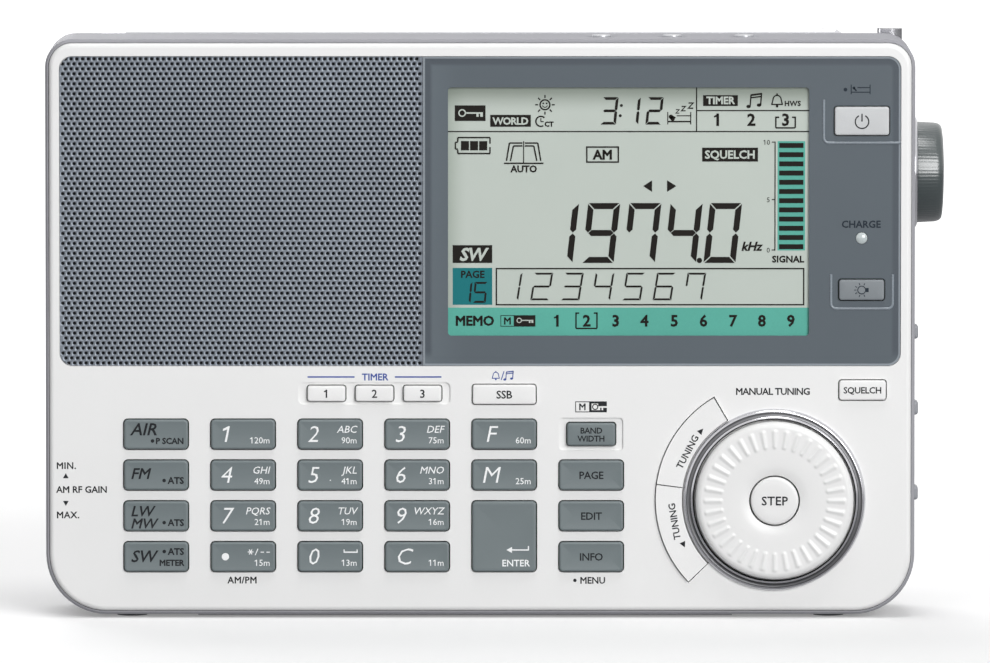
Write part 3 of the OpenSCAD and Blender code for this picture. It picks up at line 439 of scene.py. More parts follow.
def bell(marks, x, z, size):
    """A small bell: an arched body on a straight rim, with its clapper under it."""
    thin, foot = size * 0.13, z - size * 0.42
    marks.ring(x, z + size * 0.1, size * 0.42, thin, 0, 180, 12)
    for side in (-1, 1):
        marks.line(x + side * size * 0.42, z + size * 0.1, x + side * size * 0.55, foot, thin)
    marks.line(x - size * 0.62, foot, x + size * 0.62, foot, thin)
    marks.disc(x, z - size * 0.6, size * 0.14, 10)
    marks.line(x, z + size * 0.72, x, z + size * 0.5, size * 0.16)


def note(marks, x, z, size):
    """Two quavers joined by two slanted beams."""
    for lift, left in ((0, -0.5), (0.12, 0.42)):
        low, high = z + (lift - 0.5) * size, z + (lift + 0.52) * size
        marks.disc(x + (left - 0.14) * size, low, size * 0.2, 12, 0.75)
        marks.line(x + left * size, low, x + (left + 0.08) * size, high, size * 0.12)
    marks.line(x - 0.44 * size, z + 0.5 * size, x + 0.54 * size, z + 0.62 * size, size * 0.16)
    marks.line(x - 0.46 * size, z + 0.26 * size, x + 0.52 * size, z + 0.38 * size, size * 0.12)


bell(marks, 3.59, 56.03, 1.47)
marks.line(4.83, 55.02, 5.47, 57.02, 0.21)
note(marks, 6.74, 55.98, 1.7)
marks.lay("timer_marks", FACE, blue_ink, "cabinet", "panel_white")

# ---- Rear shell, feet and screws ----
# One deep grey tray moulding in satin paint that wraps the sides, top and back. It carries the
# feet, the antenna's groove, the battery tray and the posts that four screws pull together.

SHELL_PAINT = dict(rgb=(163, 163, 168), rough=0.55, grain=0.3e-3, relief=3e-6, Specular_IOR_Level=0.02)


def metal(name, dark, light, grain, rough, relief, detail=2, shine=1.0):
    """Bare metal: one fine grain drifts between two greys and two roughnesses, and stands up."""
    made = Finish(name, Metallic=shine)
    fine = made.place.noise(grain, detail)
    made.feed(Base_Color=fine.blend(ink(*dark), ink(*light)),
              Roughness=fine * (rough[1] - rough[0]) + rough[0])
    made.bump(fine, relief)
    return made.material


dress("rear_cabinet", moulded("shell_grey", **SHELL_PAINT))
dress("screws", metal("screw_steel", (150, 150, 154), (205, 205, 208), 0.2e-3, (0.2, 0.45), 4e-6,
                      detail=3))

# ---- Speaker grille ----
# A satin grey metal sheet punched with a close staggered field of small round holes, which run
# right out to its edges. It lies in the recess over a black cloth.

HOLE_SIDES = 8
HOLE_R, PITCH, ROW = 0.41e-3, 1.32e-3, 1.145e-3     # holes, and their steps along and up the sheet
sheet_low, sheet_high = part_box("speaker_grille")
SHEET_R = 2.9e-3            # radius of the sheet's two left corners
CLOTH_T, CLOTH_IN = 0.12e-3, 0.1e-3     # thickness of the cloth, and how far it stays inside the sheet


def punched(x0, x1, z0, z1, front, back, corner):
    """Sheet of brick-laid cells, each a rectangle with a round hole, odd rows half a cell along.

    A cell's border has its four corners and the middles of its long sides, where the next rows'
    corners fall. Points past the round corners on the left are drawn back onto their arc."""
    columns, rows = round((x1 - x0) / PITCH), round((z1 - z0) / ROW)
    dx, dz = (x1 - x0) / columns, (z1 - z0) / rows
    turn = (np.arange(HOLE_SIDES) + 0.5) * 2 * np.pi / HOLE_SIDES
    border = np.array([(1, 0.5), (0, 0.5), (-1, 0.5), (-1, -0.5), (0, -0.5), (1, -0.5)])
    centres = np.array([(x0 + dx * (i + 0.5 + 0.5 * (j % 2)), z0 + dz * (j + 0.5))
                        for j in range(rows) for i in range(columns - j % 2)])
    n = len(centres)
    spokes = np.stack([np.cos(turn), np.sin(turn)], 1)
    rim, hole = centres[:, None] + border * (dx / 2, dz), centres[:, None] + HOLE_R * spokes
    flat = np.concatenate([rim, hole, hole], axis=1)
    depth = np.tile([front] * (6 + HOLE_SIDES) + [back] * HOLE_SIDES, (n, 1))
    points = np.stack([flat[..., 0], depth, flat[..., 1]], 2)
    h0, h1, m = 6, 6 + HOLE_SIDES, HOLE_SIDES
    # Fan between border and hole: each border edge takes the hole corner nearest to its middle
    near = [int(np.argmin(np.hypot(*(spokes - (border[k] + border[(k + 1) % 6]) / 2 / 0.9).T)))
            for k in range(6)]
    faces = []
    for k in range(6):
        faces.append((k, (k + 1) % 6, h0 + near[k]))
        step = near[k]
        while step != near[(k + 1) % 6]:
            faces.append(((k + 1) % 6, h0 + (step + 1) % m, h0 + step))
            step = (step + 1) % m
    faces += [(h0 + i, h0 + (i + 1) % m, h1 + (i + 1) % m) for i in range(m)]
    faces += [(h0 + i, h1 + (i + 1) % m, h1 + i) for i in range(m)]
    cell = np.array(faces)
    everything = (cell[None] + (np.arange(n) * (6 + 2 * m))[:, None, None]).reshape(-1, 3)
    points = points.reshape(-1, 3)
    # Blank half cells that fill the ends of the odd rows
    blanks, base = [], len(points)
    for j in range(1, rows, 2):
        for a, b in ((x0, x0 + dx / 2), (x1 - dx / 2, x1)):
            low, top = z0 + dz * j, z0 + dz * (j + 1)
            blanks.append([(a, front, low), (b, front, low), (b, front, top), (a, front, top)])
    blanks = np.array(blanks).reshape(-1, 3)
    quads = np.arange(len(blanks)).reshape(-1, 4) + base
    everything = np.concatenate([everything, quads[:, :3], quads[:, [0, 2, 3]]])
    points = np.concatenate([points, blanks])
    for centre_z, side in ((z0 + corner, -1), (z1 - corner, 1)):
        away = points[:, [0, 2]] - (x0 + corner, centre_z)
        reach = np.hypot(*away.T)
        past = (away[:, 0] < 0) & (away[:, 1] * side > 0) & (reach > corner)
        points[past, 0] = x0 + corner + away[past, 0] / reach[past] * corner
        points[past, 2] = centre_z + away[past, 1] / reach[past] * corner
    return points, everything


grille_points, grille_faces = punched(
    sheet_low[0], sheet_high[0], sheet_low[2], sheet_high[2],
    sheet_low[1], sheet_high[1] - CLOTH_T, SHEET_R)
mesh = bpy.data.meshes.new("grille_sheet")
mesh.vertices.add(len(grille_points))
mesh.vertices.foreach_set("co", grille_points.ravel())
mesh.loops.add(grille_faces.size)
mesh.loops.foreach_set("vertex_index", grille_faces.ravel())
mesh.polygons.add(len(grille_faces))
mesh.polygons.foreach_set("loop_start", np.arange(len(grille_faces)) * 3)
mesh.update(calc_edges=True)
mesh.validate()
grille_paint = moulded("grille_paint", (122, 129, 138), rough=0.34, grain=0.5e-3, relief=2e-6,
                       drift=0.03, Metallic=0.35)
mesh.materials.append(grille_paint)
grille = bpy.data.objects.new("grille_sheet", mesh)
bpy.context.scene.collection.objects.link(grille)
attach(grille, "cabinet")
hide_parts("speaker_grille")

cloth = Finish("speaker_cloth", Roughness=0.9)
threads = cloth.place.noise(0.25e-3, 1)
cloth.feed(Base_Color=threads.blend(ink(14, 15, 17), ink(34, 36, 40)))
cloth.bump(threads, 20e-6)


def cloth_backing(x0, x1, z0, z1, front, back, corner):
    """Closed thin sheet whose outline is square on the right and round on the left corners."""
    turn = np.radians(np.linspace(90, 180, 7))
    upper = np.stack([x0 + corner + corner * np.cos(turn), z1 - corner + corner * np.sin(turn)], 1)
    lower = np.stack([x0 + corner - corner * np.sin(turn), z0 + corner + corner * np.cos(turn)], 1)
    outline = np.concatenate([[(x1, z1)], upper, lower, [(x1, z0)]])[::-1]
    n = len(outline)
    points = np.concatenate([np.stack([outline[:, 0], np.full(n, y), outline[:, 1]], 1)
                             for y in (front, back)])
    walls = [((i + 1) % n, i, n + i, n + (i + 1) % n) for i in range(n)]
    return points, [range(n), range(2 * n - 1, n - 1, -1)] + walls


piece("speaker_cloth", *cloth_backing(
    sheet_low[0] + CLOTH_IN, sheet_high[0] - CLOTH_IN, sheet_low[2] + CLOTH_IN, sheet_high[2] - CLOTH_IN,
    sheet_high[1] - CLOTH_T, sheet_high[1], SHEET_R), cloth.material, "cabinet", "grille_metal")

# ---- Display window ----
# A glossy smoke-grey moulding beside the grille, a little lower than the panel. A painted
# highlight runs round it as a fine light lip, painted shade darkens its border, and soft raised
# lips, painted lighter as a highlight, stand round its two keys.

pane_low, pane_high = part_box("display_window")
PANE = pane_low[1]
CORNER, BORDER = 3e-3, 1.9e-3
pane = Finish("window_grey", Roughness=0.24, Specular_IOR_Level=0.6)
x, _, z = pane.place.axes()
mid_z, half_z = (pane_low[2] + pane_high[2]) / 2, (pane_high[2] - pane_low[2]) / 2
# Distance in from the outline, whose right corners are round: the radius less how far a point
# lies past the corner centres, or the way from the left edge if that is shorter
past_x = x.math("MAXIMUM", x - (pane_high[0] - CORNER), 0.0)
past_z = z.math("MAXIMUM", z.math("ABSOLUTE", z - mid_z) - (half_z - CORNER), 0.0)
inward = CORNER - x.math("SQRT", past_x * past_x + past_z * past_z)
inward = inward.math("MINIMUM", inward, x - pane_low[0])
# Painted shade on the border except along the foot, a painted highlight as a light lip at
# the outline, and a lighter left end
band = (1 - inward.over(BORDER, 0.5e-3)) * z.over(pane_low[2] + 2.4e-3, 1.2e-3)
rim = 1 - inward.over(0.45e-3, 0.12e-3)
slow = pane.place.noise(30e-3)
leftward = (1 - x.over(pane_low[0] + 3e-3, 9e-3)) * 0.8
shade = (slow * 0.3 + leftward + 0.1).over(0.5, 0.5).blend(ink(84, 93, 100), ink(96, 106, 113))
shade = band.blend(shade, ink(74, 82, 90))
pane.feed(Base_Color=rim.blend(shade, ink(140, 148, 155)),
          Roughness=pane.place.noise(0.4e-3) * 0.08 + 0.2)
pane.bump(pane.place.noise(6e-3, 1), 6e-6)
dress("display_window", pane.material)


def outward(points, faces):
    """Turns every face over if the closed shape's signed volume comes out negative."""
    volume = sum(np.dot(points[f[0]], np.cross(points[f[i]], points[f[i + 1]]))
                 for f in map(list, faces) for i in range(1, len(f) - 1))
    return points, faces if volume > 0 else [list(f)[::-1] for f in faces]


def grid_faces(rows, columns, round_rows=False):
    """Faces of a grid of points, row by row: each row is a loop, and so are the columns if told."""
    return [(i * columns + j, i * columns + (j + 1) % columns,
             (i + 1) % rows * columns + (j + 1) % columns, (i + 1) % rows * columns + j)
            for i in range(rows - (not round_rows)) for j in range(columns)]


def bead(path, wide, proud, face_y, sunk=0.05e-3):
    """Half-round bar along an open path on the front, in front millimetres.

    Each path point carries an arch: half the width to both sides along the mitre, sine high."""
    path = np.array(path)
    line = np.stack([across(path[:, 0]), up(path[:, 1])], 1)
    run = np.diff(line, axis=0)
    run /= np.linalg.norm(run, axis=1, keepdims=True)
    mitre = np.concatenate([run, run[-1:]]) + np.concatenate([run[:1], run])
    mitre /= np.linalg.norm(mitre, axis=1, keepdims=True)
    normal = np.stack([-mitre[:, 1], mitre[:, 0]], 1)
    arch = np.linspace(0, np.pi, 7)
    sideways = np.concatenate([[-1], -np.cos(arch), [1]]) * wide / 2
    forward = np.concatenate([[-sunk], np.sin(arch) * proud, [-sunk]])
    spread = line[:, None] + normal[:, None] * sideways[:, None]
    points = np.stack([spread[..., 0], face_y - np.broadcast_to(forward, spread.shape[:2]),
                       spread[..., 1]], 2)
    n, m = len(path), len(sideways)
    faces = grid_faces(n, m) + [range(m - 1, -1, -1), range((n - 1) * m, n * m)]
    return outward(points.reshape(-1, 3), faces)


def bend(x, z, radius, start, end, steps=6):
    """Points of an arc round (x, z), angles anticlockwise from the right in degrees."""
    turn = np.radians(np.linspace(start, end, steps + 1))
    return [(x + radius * math.cos(a), z + radius * math.sin(a)) for a in turn]


LIP_R = 1.15        # corner radius of the raised lips, in mm
LIP_WIDE, LIP_PROUD = 0.62e-3, 0.26e-3
# The raised lips are real beads; their lighter grey is a painted highlight along them
lip = moulded("window_lip_highlight", (132, 141, 149), rough=0.26, relief=1e-6, Specular_IOR_Level=0.6)
left, top, foot = 78.96, 119.6, 109.66
power_lip = [(left, top), *bend(left + LIP_R, foot + LIP_R, LIP_R, 180, 270), (96.55, foot)]
left, top, right, foot = 80.68, 79.4, 94.85, 71.48
light_lip = [(left, top), *bend(left + LIP_R, foot + LIP_R, LIP_R, 180, 270),
             *bend(right - LIP_R, foot + LIP_R, LIP_R, 270, 360), (right, top)]
for name, path in (("power_key_lip", power_lip), ("light_key_lip", light_lip)):
    piece(name, *bead(path, LIP_WIDE, LIP_PROUD, PANE), lip, "cabinet", "window_grey", soft=60)

marks = Print()
marks.words("CHARGE", 87.58, 90.9, 1.56, bold=0.06)
# Sleeper in a bed, over the power key
marks.disc(83.9, 121.9, 0.44, 14)
for post in (85.22, 89.56):
    marks.line(post, 123.05, post, 120.84, 0.21)
marks.line(85.22, 121.3, 89.56, 121.3, 0.21)
marks.line(86.66, 122.36, 89.56, 122.36, 0.21)
marks.line(85.86, 122.27, 86.43, 121.58, 0.35)
marks.disc(85.84, 122.27, 0.32, 12)
window_ink = moulded("window_ink", (28, 38, 48), rough=0.5, drift=0.08, Specular_IOR_Level=0.2)
marks.lay("window_marks", PANE, window_ink, "cabinet", "window_grey")

lens = Finish("lamp_lens", Roughness=0.16, Coat_Weight=0.6)
lens.feed(Base_Color=lens.place.noise(1.5e-3).blend(ink(184, 194, 195), ink(200, 208, 208)))
lens.bump(lens.place.noise(0.5e-3), 4e-6)
dress("charge_led", lens.material)

# ---- Display ----
# A reflective liquid crystal panel: grey-green glass, a teal strip and meter field printed
# under it, and dark bars and signs that stand out when they are driven.

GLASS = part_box("lcd_panel")[0][1]
LCD_LEFT, LCD_TOP, LCD_RIGHT, LCD_FOOT = -7.41, 122.41, 75.62, 65.14
UNDER = 0.9         # how far the glass and its printed fields run on under the window's edge
glass = Finish("lcd_glass", Roughness=0.3, Specular_IOR_Level=0.4, Coat_Weight=0.15)
x, _, z = glass.place.axes()
# The glass lies deep, so it darkens softly under the top and left edges of the opening
top_shade = z.over(float(up(LCD_TOP)) - 2.6e-3, 3.6e-3) * 0.85
side_shade = (1 - x.over(float(across(LCD_LEFT)) + 1.6e-3, 3.2e-3)) * 0.5
pale = glass.place.noise(25e-3).blend(ink(188, 197, 189), ink(196, 204, 196))
pale = side_shade.blend(pale, ink(126, 140, 124))
glass.feed(Base_Color=top_shade.blend(pale, ink(118, 128, 116)),
           Roughness=glass.place.noise(0.4e-3) * 0.1 + 0.26)
glass.bump(glass.place.noise(0.3e-3, 1), 1e-6)
dress("lcd_panel", glass.material)
teal, deep_teal, bars_dark, bars_pale = (
    moulded(name, rgb, rough=rough, relief=1e-6, drift=drift, Specular_IOR_Level=gloss)
    for name, rgb, rough, drift, gloss in (
        ("lcd_teal", (92, 174, 158), 0.4, 0.04, 0.2), ("lcd_deep_teal", (28, 116, 121), 0.4, 0.03, 0.15),
        ("lcd_bars", (30, 27, 24), 0.5, 0.1, 0.1), ("lcd_pale", (192, 200, 192), 0.4, 0.02, 0.2)))

field = Print()
field.block(LCD_LEFT - UNDER, 71.62, LCD_RIGHT + UNDER, LCD_FOOT - UNDER)
field.block(68.36, 109.99, 74.7, 84.8)
field.lay("lcd_teal_field", GLASS, teal, "cabinet", "lcd_glass")
field = Print()
field.block(-6.33, 80.78, 2.76, 72.27)
field.lay("lcd_page_field", GLASS, deep_teal, "cabinet", "lcd_glass")

THIN, HAIR = 0.34, 0.22     # width of the fine lines, and of the finest
BOLD = 0.12                 # how far the edges of bold letters move out
bars = Print()
bars.block(LCD_LEFT, 112.33, LCD_RIGHT, 112.06)
bars.block(49.59, LCD_TOP, 49.86, 112.33)
bars.block(49.86, 117.16, LCD_RIGHT, 116.89)
for box in ((-5.84, 118.22, 1.22, 114.63), (2.32, 116.04, 11.64, 113.3),
            (51.22, 120.57, 59.2, 118.08), (51.01, 108.49, 63.85, 105.29), (-6.33, 86.02, 2.76, 81.93)):
    bars.block(*box)


def rays(signs, x, z, inner, outer, wide, turns):
    """Short straight rays round a point."""
    for turn in np.radians(turns):
        reach = np.array([math.cos(turn), math.sin(turn)])
        signs.line(*((x, z) + inner * reach), *((x, z) + outer * reach), wide)


def bracket(signs, x, z, wide, tall):
    """Square brackets round a chosen number, joined under it."""
    top, foot = z + tall / 2, z - tall / 2
    for side in (-1, 1):
        edge = x + side * wide / 2
        signs.line(edge, foot, edge, top, THIN)
        signs.line(edge + side * THIN / 2, top, edge - side * 0.75, top, THIN)
    signs.line(x - wide / 2, foot, x + wide / 2, foot, THIN)


# Sun, clock, time and sleeper
bars.ring(14.88, 118.36, 1.13, THIN)
for eye in (14.49, 15.27):
    bars.disc(eye, 118.68, 0.21, 8)
bars.ring(14.88, 118.4, 0.62, 0.2, -160, -20, 8)
rays(bars, 14.88, 118.36, 1.56, 2.25, 0.3, range(0, 360, 45))
bars.ring(13.94, 114.54, 1.15, THIN, 45, 300)
bars.line(13.94, 115.28, 13.94, 114.45, HAIR)
bars.line(13.94, 114.49, 14.58, 114.49, HAIR)
bars.words("CT", 15.82, 113.9, 1.06, bold=0.07)
bars.figures("3", 27.6, 120.11, 3.59, 6.3, 0.62)
bars.disc(32.2, 115.85, 0.35, 12)
bars.disc(32.45, 118.2, 0.35, 12)
bars.figures("12", 32.71, 120.11, 3.59, 6.3, 0.62, pitch=5.24)
for post in (43.1, 48.39):
    bars.line(post, 116.7, post, 113.83, HAIR)
bars.line(43.1, 114.49, 48.39, 114.49, THIN)
bars.line(45.17, 115.83, 48.39, 115.83, HAIR)
bars.shape((43.47, 115.41), (44.25, 115.83), (44.94, 115.51), (44.48, 114.63), (44.02, 114.63))
bars.disc(43.84, 115.6, 0.51, 12)
for x, z, tall in ((45.26, 116.84, 0.92), (46.6, 117.48, 1.15), (48.25, 118.17, 1.38)):
    bars.words("Z", x, z, tall, lean=0.2, bold=0.06)
note(bars, 63.34, 119.28, 2.62)
bell(bars, 68.22, 119.37, 2.21)
bars.words("HWS", 71.78, 118.66, 1.1, bold=0.06, tight=1.1)
for digit, x in zip("123", (54.58, 62.31, 70.2)):
    bars.words(digit, x, 114.91, 2.62, bold=BOLD)
bracket(bars, 70.17, 114.26, 4.46, 2.44)
# Battery, filter curve and the mode box
for path in ([(-5.15, 109.85), (-5.15, 110.81), (2.25, 110.81), (2.25, 109.39)],
             [(-5.15, 108.05), (-5.15, 107.13), (2.25, 107.13), (2.25, 108.61)],
             [(-5.15, 109.73), (-5.7, 109.73), (-5.7, 108.15), (-5.15, 108.15)]):
    for (x0, z0), (x1, z1) in zip(path, path[1:]):
        bars.line(x0, z0, x1, z1, THIN)
for x in (-4.42, -2.32, -0.23):
    bars.block(x, 110.01, x + 1.84, 107.87)
for foot, top, shoulder in ((6.03, 109.55, 6.72), (6.95, 108.88, 7.64)):
    for side in (-1, 1):
        x0, x1, x2 = (9.98 + side * (9.98 - place) for place in (foot, shoulder, 9.71))
        bars.line(x0, 105.43, x1, top, THIN)
        bars.line(x1, top, x2, top, THIN)
bars.line(9.98, 109.99, 9.98, 104.93, HAIR)
bars.line(5.47, 104.88, 14.54, 104.88, THIN)
bars.words("AUTO", 10.05, 103.59, 1.47, bold=0.08)
bars.frame(24.33, 108.79, 31.92, 105, THIN)
bars.words("AM", 28.18, 106.86, 2.07, bold=BOLD)
for tip, foot in ((37.49, 39.51), (45.1, 42.96)):
    bars.shape((tip, 99.64), (foot, 100.97), (foot, 98.3))
# Signal meter with its scale
METER_STEPS, METER_PITCH = 12, 2.12
for step in range(METER_STEPS):
    top = 109.57 - METER_PITCH * step
    bars.block(68.72, top, 74.31, top - 1.15)
bars.line(67.78, 109.89, 67.78, 84.78, 0.25)
for z, label in ((109.76, "10"), (96.53, "5"), (84.92, "0")):
    bars.line(67.02, z, 67.78, z, HAIR)
    bars.words(label, 66.65, z - 0.05, 1.1, side="RIGHT")
bars.words("SIGNAL", 70.79, 82.8, 1.43, bold=0.08, tight=1.04)
# Frequency and the rows under it
for digit, x in zip("19740", (13.85, 23.32, 32.8, 42.27, 51.34)):
    bars.figures(digit, x, 95.73, 7.36, 13.8, 1.38, lean=0.11)
bars.disc(50.42, 82.5, 0.62, 14)
bars.words("kHz", 62.33, 85.77, 1.93, lean=0.25, bold=0.1)
bars.words("PAGE", -1.75, 79.3, 1.56, bold=0.06)
bars.figures("15", -5.24, 77.56, 3.0, 4.83, 0.46, pitch=3.5)
bars.frame(3.56, 80.78, 74.57, 72.13, 0.32)
bars.figures("1234567", 4.46, 79.67, 4.28, 6.35, 0.44, lean=0.16, pitch=7.04)
bars.words("MEMO", -1.27, 68.59, 2.12, bold=BOLD)
bars.frame(4.67, 69.87, 7.87, 67.25, 0.15)
bars.words("M", 6.26, 68.56, 1.56, bold=0.06)
bars.block(7.87, 69.87, 12.7, 67.25)
for digit, x in zip("123456789", (17.76, 24.5, 31.19, 37.81, 44.67, 51.36, 58.14, 64.81, 71.48)):
    bars.words(digit, x, 68.59, 2.48, bold=BOLD)
bracket(bars, 24.45, 68.59, 4.83, 3.54)
OVER = GLASS - INK_SKIN
bars.lay("lcd_bars", OVER, bars_dark, "cabinet", "lcd_glass")


def door_key(signs, x, z, long):
    """A key lying down: a ring at the left, a shaft, and two teeth under its end."""
    signs.ring(x - long * 0.33, z, long * 0.13, long * 0.05)
    signs.block(x - long * 0.17, z + long * 0.03, x + long * 0.5, z - long * 0.03)
    for left, right in ((0.24, 0.33), (0.39, 0.5)):
        signs.block(x + long * left, z - long * 0.03, x + long * right, z - long * 0.15)


bars = Print()
door_key(bars, -2.25, 116.47, 5.75)
door_key(bars, 10.26, 68.68, 3.91)
bars.words("WORLD", 6.99, 114.61, 1.56, bold=0.08, tight=0.93)
bars.words("TIMER", 55.22, 119.37, 1.61, bold=0.08)
bars.words("SQUELCH", 57.43, 106.9, 1.79, bold=0.08)
bars.words("SW", -1.79, 83.9, 2.75, lean=0.22, bold=0.14, tight=0.98)
bars.lay("lcd_cutouts", OVER - INK_SKIN, bars_pale, "cabinet", "lcd_glass")

# ---- Keys ----
# Satin keys of moulded plastic: each cap has a soft bevel and a slightly dished face, or a
# crowned one if it is small. It stands in its hole with a narrow dark gap, and its legend is
# printed on it.

KEY_FLANGE = 0.75e-3        # how far a key's node reaches past its cap on each side: gap and flange
WALL_BACK = FACE + 2.3e-3   # where the caps end, inside the panel
KEY_R, SMALL_R = 0.9e-3, 0.6e-3     # corner radius of a dished cap, and of a small crowned one
BOWL = 0.96                 # share of a cap's half height over which its face falls or rises
DISHED = (0.38e-3, -0.16e-3)        # bevel and crown of the grey keys
CROWNED = (0.35e-3, 0.06e-3)        # the same of the small keys
LEGEND_T, LEGEND_IN = 0.06e-3, 0.02e-3      # thickness of a legend, and how far it lies in the face


def key_plan(node):
    """Centre and half size of a key's cap, as (x, z), and the plane of its front."""
    low, high = (np.array(corner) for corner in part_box(node))
    return ((low + high) / 2)[[0, 2]], (high - low)[[0, 2]] / 2 - KEY_FLANGE, low[1]


def crown_fall(part, crown):
    """How far the face lies back at a part of the way in from its edge: crown (1 - part) squared.

    A dished face has a crown below 0."""
    return crown * (1 - np.clip(part, 0, 1)) ** 2


def keycap(node, bevel, crown, steps=6):
    """Closed cap seen as rings: the rounded outline drawn in by each inset and moved forward.

    The bevel's rings follow a quarter circle; from it the face rises by the crown, or falls by
    it if it is below 0."""
    centre, half, front = key_plan(node)
    arc = np.linspace(0, np.pi / 2, 5)
    way = np.array([0.08, 0.2, 0.4, 0.65, 1.0])
    corner, front = KEY_R if crown < 0 else SMALL_R, front - min(crown, 0)
    deep = half.min() * BOWL - bevel
    inset = np.concatenate([[0], bevel * (1 - np.cos(arc)), bevel + deep * way])
    plane = np.concatenate([[WALL_BACK], front + crown + bevel * (1 - np.sin(arc)),
                            front + crown_fall(way, crown)])
    radius = np.maximum(corner - inset, corner * 0.12)
    turn = np.concatenate([q * np.pi / 2 + np.linspace(0, np.pi / 2, steps + 1) for q in range(4)])
    sign = np.repeat([(1, 1), (-1, 1), (-1, -1), (1, -1)], steps + 1, axis=0)
    hub = np.maximum(half - inset[:, None] - radius[:, None], 0)[:, None]
    flat = centre + sign * hub + np.stack([np.cos(turn), np.sin(turn)], 1) * radius[:, None, None]
    points = np.stack([flat[..., 0], np.broadcast_to(plane[:, None], flat.shape[:2]), flat[..., 1]], 2)
    n, m = len(inset), len(turn)
    faces = grid_faces(n, m) + [range(m - 1, -1, -1), range((n - 1) * m, n * m)]
    return outward(points.reshape(-1, 3), faces)


CAPS = {name: moulded(name, rgb, grain=0.25e-3, relief=2e-6) for name, rgb in (
    ("key_grey", (112, 122, 124)), ("key_white", (240, 240, 239)),
    ("key_pale", (200, 202, 203)), ("key_mid", (124, 130, 134)))}
white_ink = moulded("white_ink", (248, 249, 249), rough=0.5, drift=0.01)


def make_key(node, colour, legend_ink, legend, form=DISHED):
    """A key's cap, and its legend draped over the dished or crowned face."""
    bevel, crown = form
    cap = piece("cap_" + node, *keycap(node, bevel, crown), CAPS[colour], node, colour, soft=60)
    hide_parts(node)
    centre, half, front = key_plan(node)
    deep, front = half.min() * BOWL - bevel, front - min(crown, 0)

    def face(x, z):
        away = half - np.abs(np.stack([x, z], 1) - centre)
        return front + LEGEND_IN + crown_fall((away.min(1) - bevel) / deep, crown)

    legend.lay("legend_" + node, face, legend_ink, node, colour, skin=LEGEND_T)


def key_middle(node):
    """Middle of a key in front millimetres."""
    (x, z), _, _ = key_plan(node)
    return (x - MIDDLE) / MM, z / MM


# The grey number keys: figure, small letters over the wave band's name
FIGURES = {"key_1": ("1", "", "120m"), "key_2": ("2", "ABC", "90m"), "key_3": ("3", "DEF", "75m"),
           "key_4": ("4", "GHI", "49m"), "key_5": ("5", "JKL", "41m"), "key_6": ("6", "MNO", "31m"),
           "key_7": ("7", "PQRS", "21m"), "key_8": ("8", "TUV", "19m"), "key_9": ("9", "WXYZ", "16m"),
           "key_point": ("", "", "15m"), "key_0": ("0", "", "13m"), "key_clear": ("C", "", "11m"),
           "function_key": ("F", "", "60m"), "memory_key": ("M", "", "25m")}
for node, (figure, letters, wave) in FIGURES.items():
    legend, (x, z) = Print(), key_middle(node)
    if figure:
        legend.words(figure, x - (3.2 if figure in "FMC" else 4.0), z + 0.1, 3.7, lean=0.2, bold=-0.03)
    if letters:
        legend.words(letters, x + 6.1, z + 1.2, 1.6, lean=0.22, bold=0.01, side="RIGHT")
    legend.words(wave, x + 6.2, z - 1.35, 1.4, side="RIGHT")
    if node == "key_5":
        legend.disc(x + 0.05, z - 1.15, 0.14, 10)
    if node == "key_point":
        legend.disc(x - 4.1, z + 0.05, 0.85, 24)
        rays(legend, x + 1.7, z + 1.15, -0.65, 0.65, 0.22, (0, 60, 120))
        legend.line(x + 2.75, z + 0.4, x + 3.4, z + 1.9, 0.2)
        legend.line(x + 4, z + 1.1, x + 4.8, z + 1.1, 0.2)
        legend.line(x + 5.35, z + 1.1, x + 6.15, z + 1.1, 0.2)
    if node == "key_0":
        legend.line(x + 3.2, z + 1.1, x + 6.2, z + 1.1, 0.3)
        for edge in (x + 3.2, x + 6.2):
            legend.line(edge, z + 0.95, edge, z + 1.75, 0.25)
    make_key(node, "key_grey", white_ink, legend)

# The band keys: large slanted names on the left, small words on the right, a dot before the first
BANDS = {"band_key_1": ([("AIR", 1.2, 2.7)], [("P SCAN", -1.5, 1.3)], -0.8),
         "band_key_2": ([("FM", 0.4, 2.4)], [("ATS", -1.2, 1.45)], 1.85),
         "band_key_3": ([("LW", 1.15, 2.3), ("MW", -1.7, 2.2)], [("ATS", -1.5, 1.45)], 1.85),
         "band_key_4": ([("SW", 0.15, 2.6)], [("ATS", 1.25, 1.45), ("METER", -1.35, 1.3)], 1.85)}
for node, (names, words, dot) in BANDS.items():
    legend, (x, z) = Print(), key_middle(node)
    for word, lift, tall in names:
        legend.words(word, x - 5.9, z + lift, tall, lean=0.25, bold=0.06, side="LEFT")
    for word, lift, tall in words:
        legend.words(word, x + 6.4, z + lift, tall, bold=0.07, side="RIGHT")
    legend.disc(x + dot, z + words[0][1], 0.42, 12)
    make_key(node, "key_grey", dark_ink, legend)

# Keys with one or two plain words in the middle
GREY_WORDS = {"page_key": [("PAGE", 0, 1.65)], "edit_key": [("EDIT", 0, 1.65)],
              "info_key": [("INFO", 0, 1.65)],
              "bandwidth_key": [("BAND", 0.9, 1.3), ("WIDTH", -0.95, 1.3)]}
WHITE_WORDS = {"timer_key_1": [("1", 0, 1.8)], "timer_key_2": [("2", 0, 1.8)],
               "timer_key_3": [("3", 0, 1.8)], "ssb_key": [("SSB", 0, 1.75)],
               "squelch_key": [("SQUELCH", 0, 1.4)]}
for colour, keys in (("key_grey", GREY_WORDS), ("key_white", WHITE_WORDS)):
    for node, lines in keys.items():
        legend, (x, z) = Print(), key_middle(node)
        for word, lift, tall in lines:
            legend.words(word, x, z + lift, tall, bold=0.04, tight=0.96)
        small = colour == "key_white" or node == "bandwidth_key"
        make_key(node, colour, dark_ink, legend, CROWNED if small else DISHED)

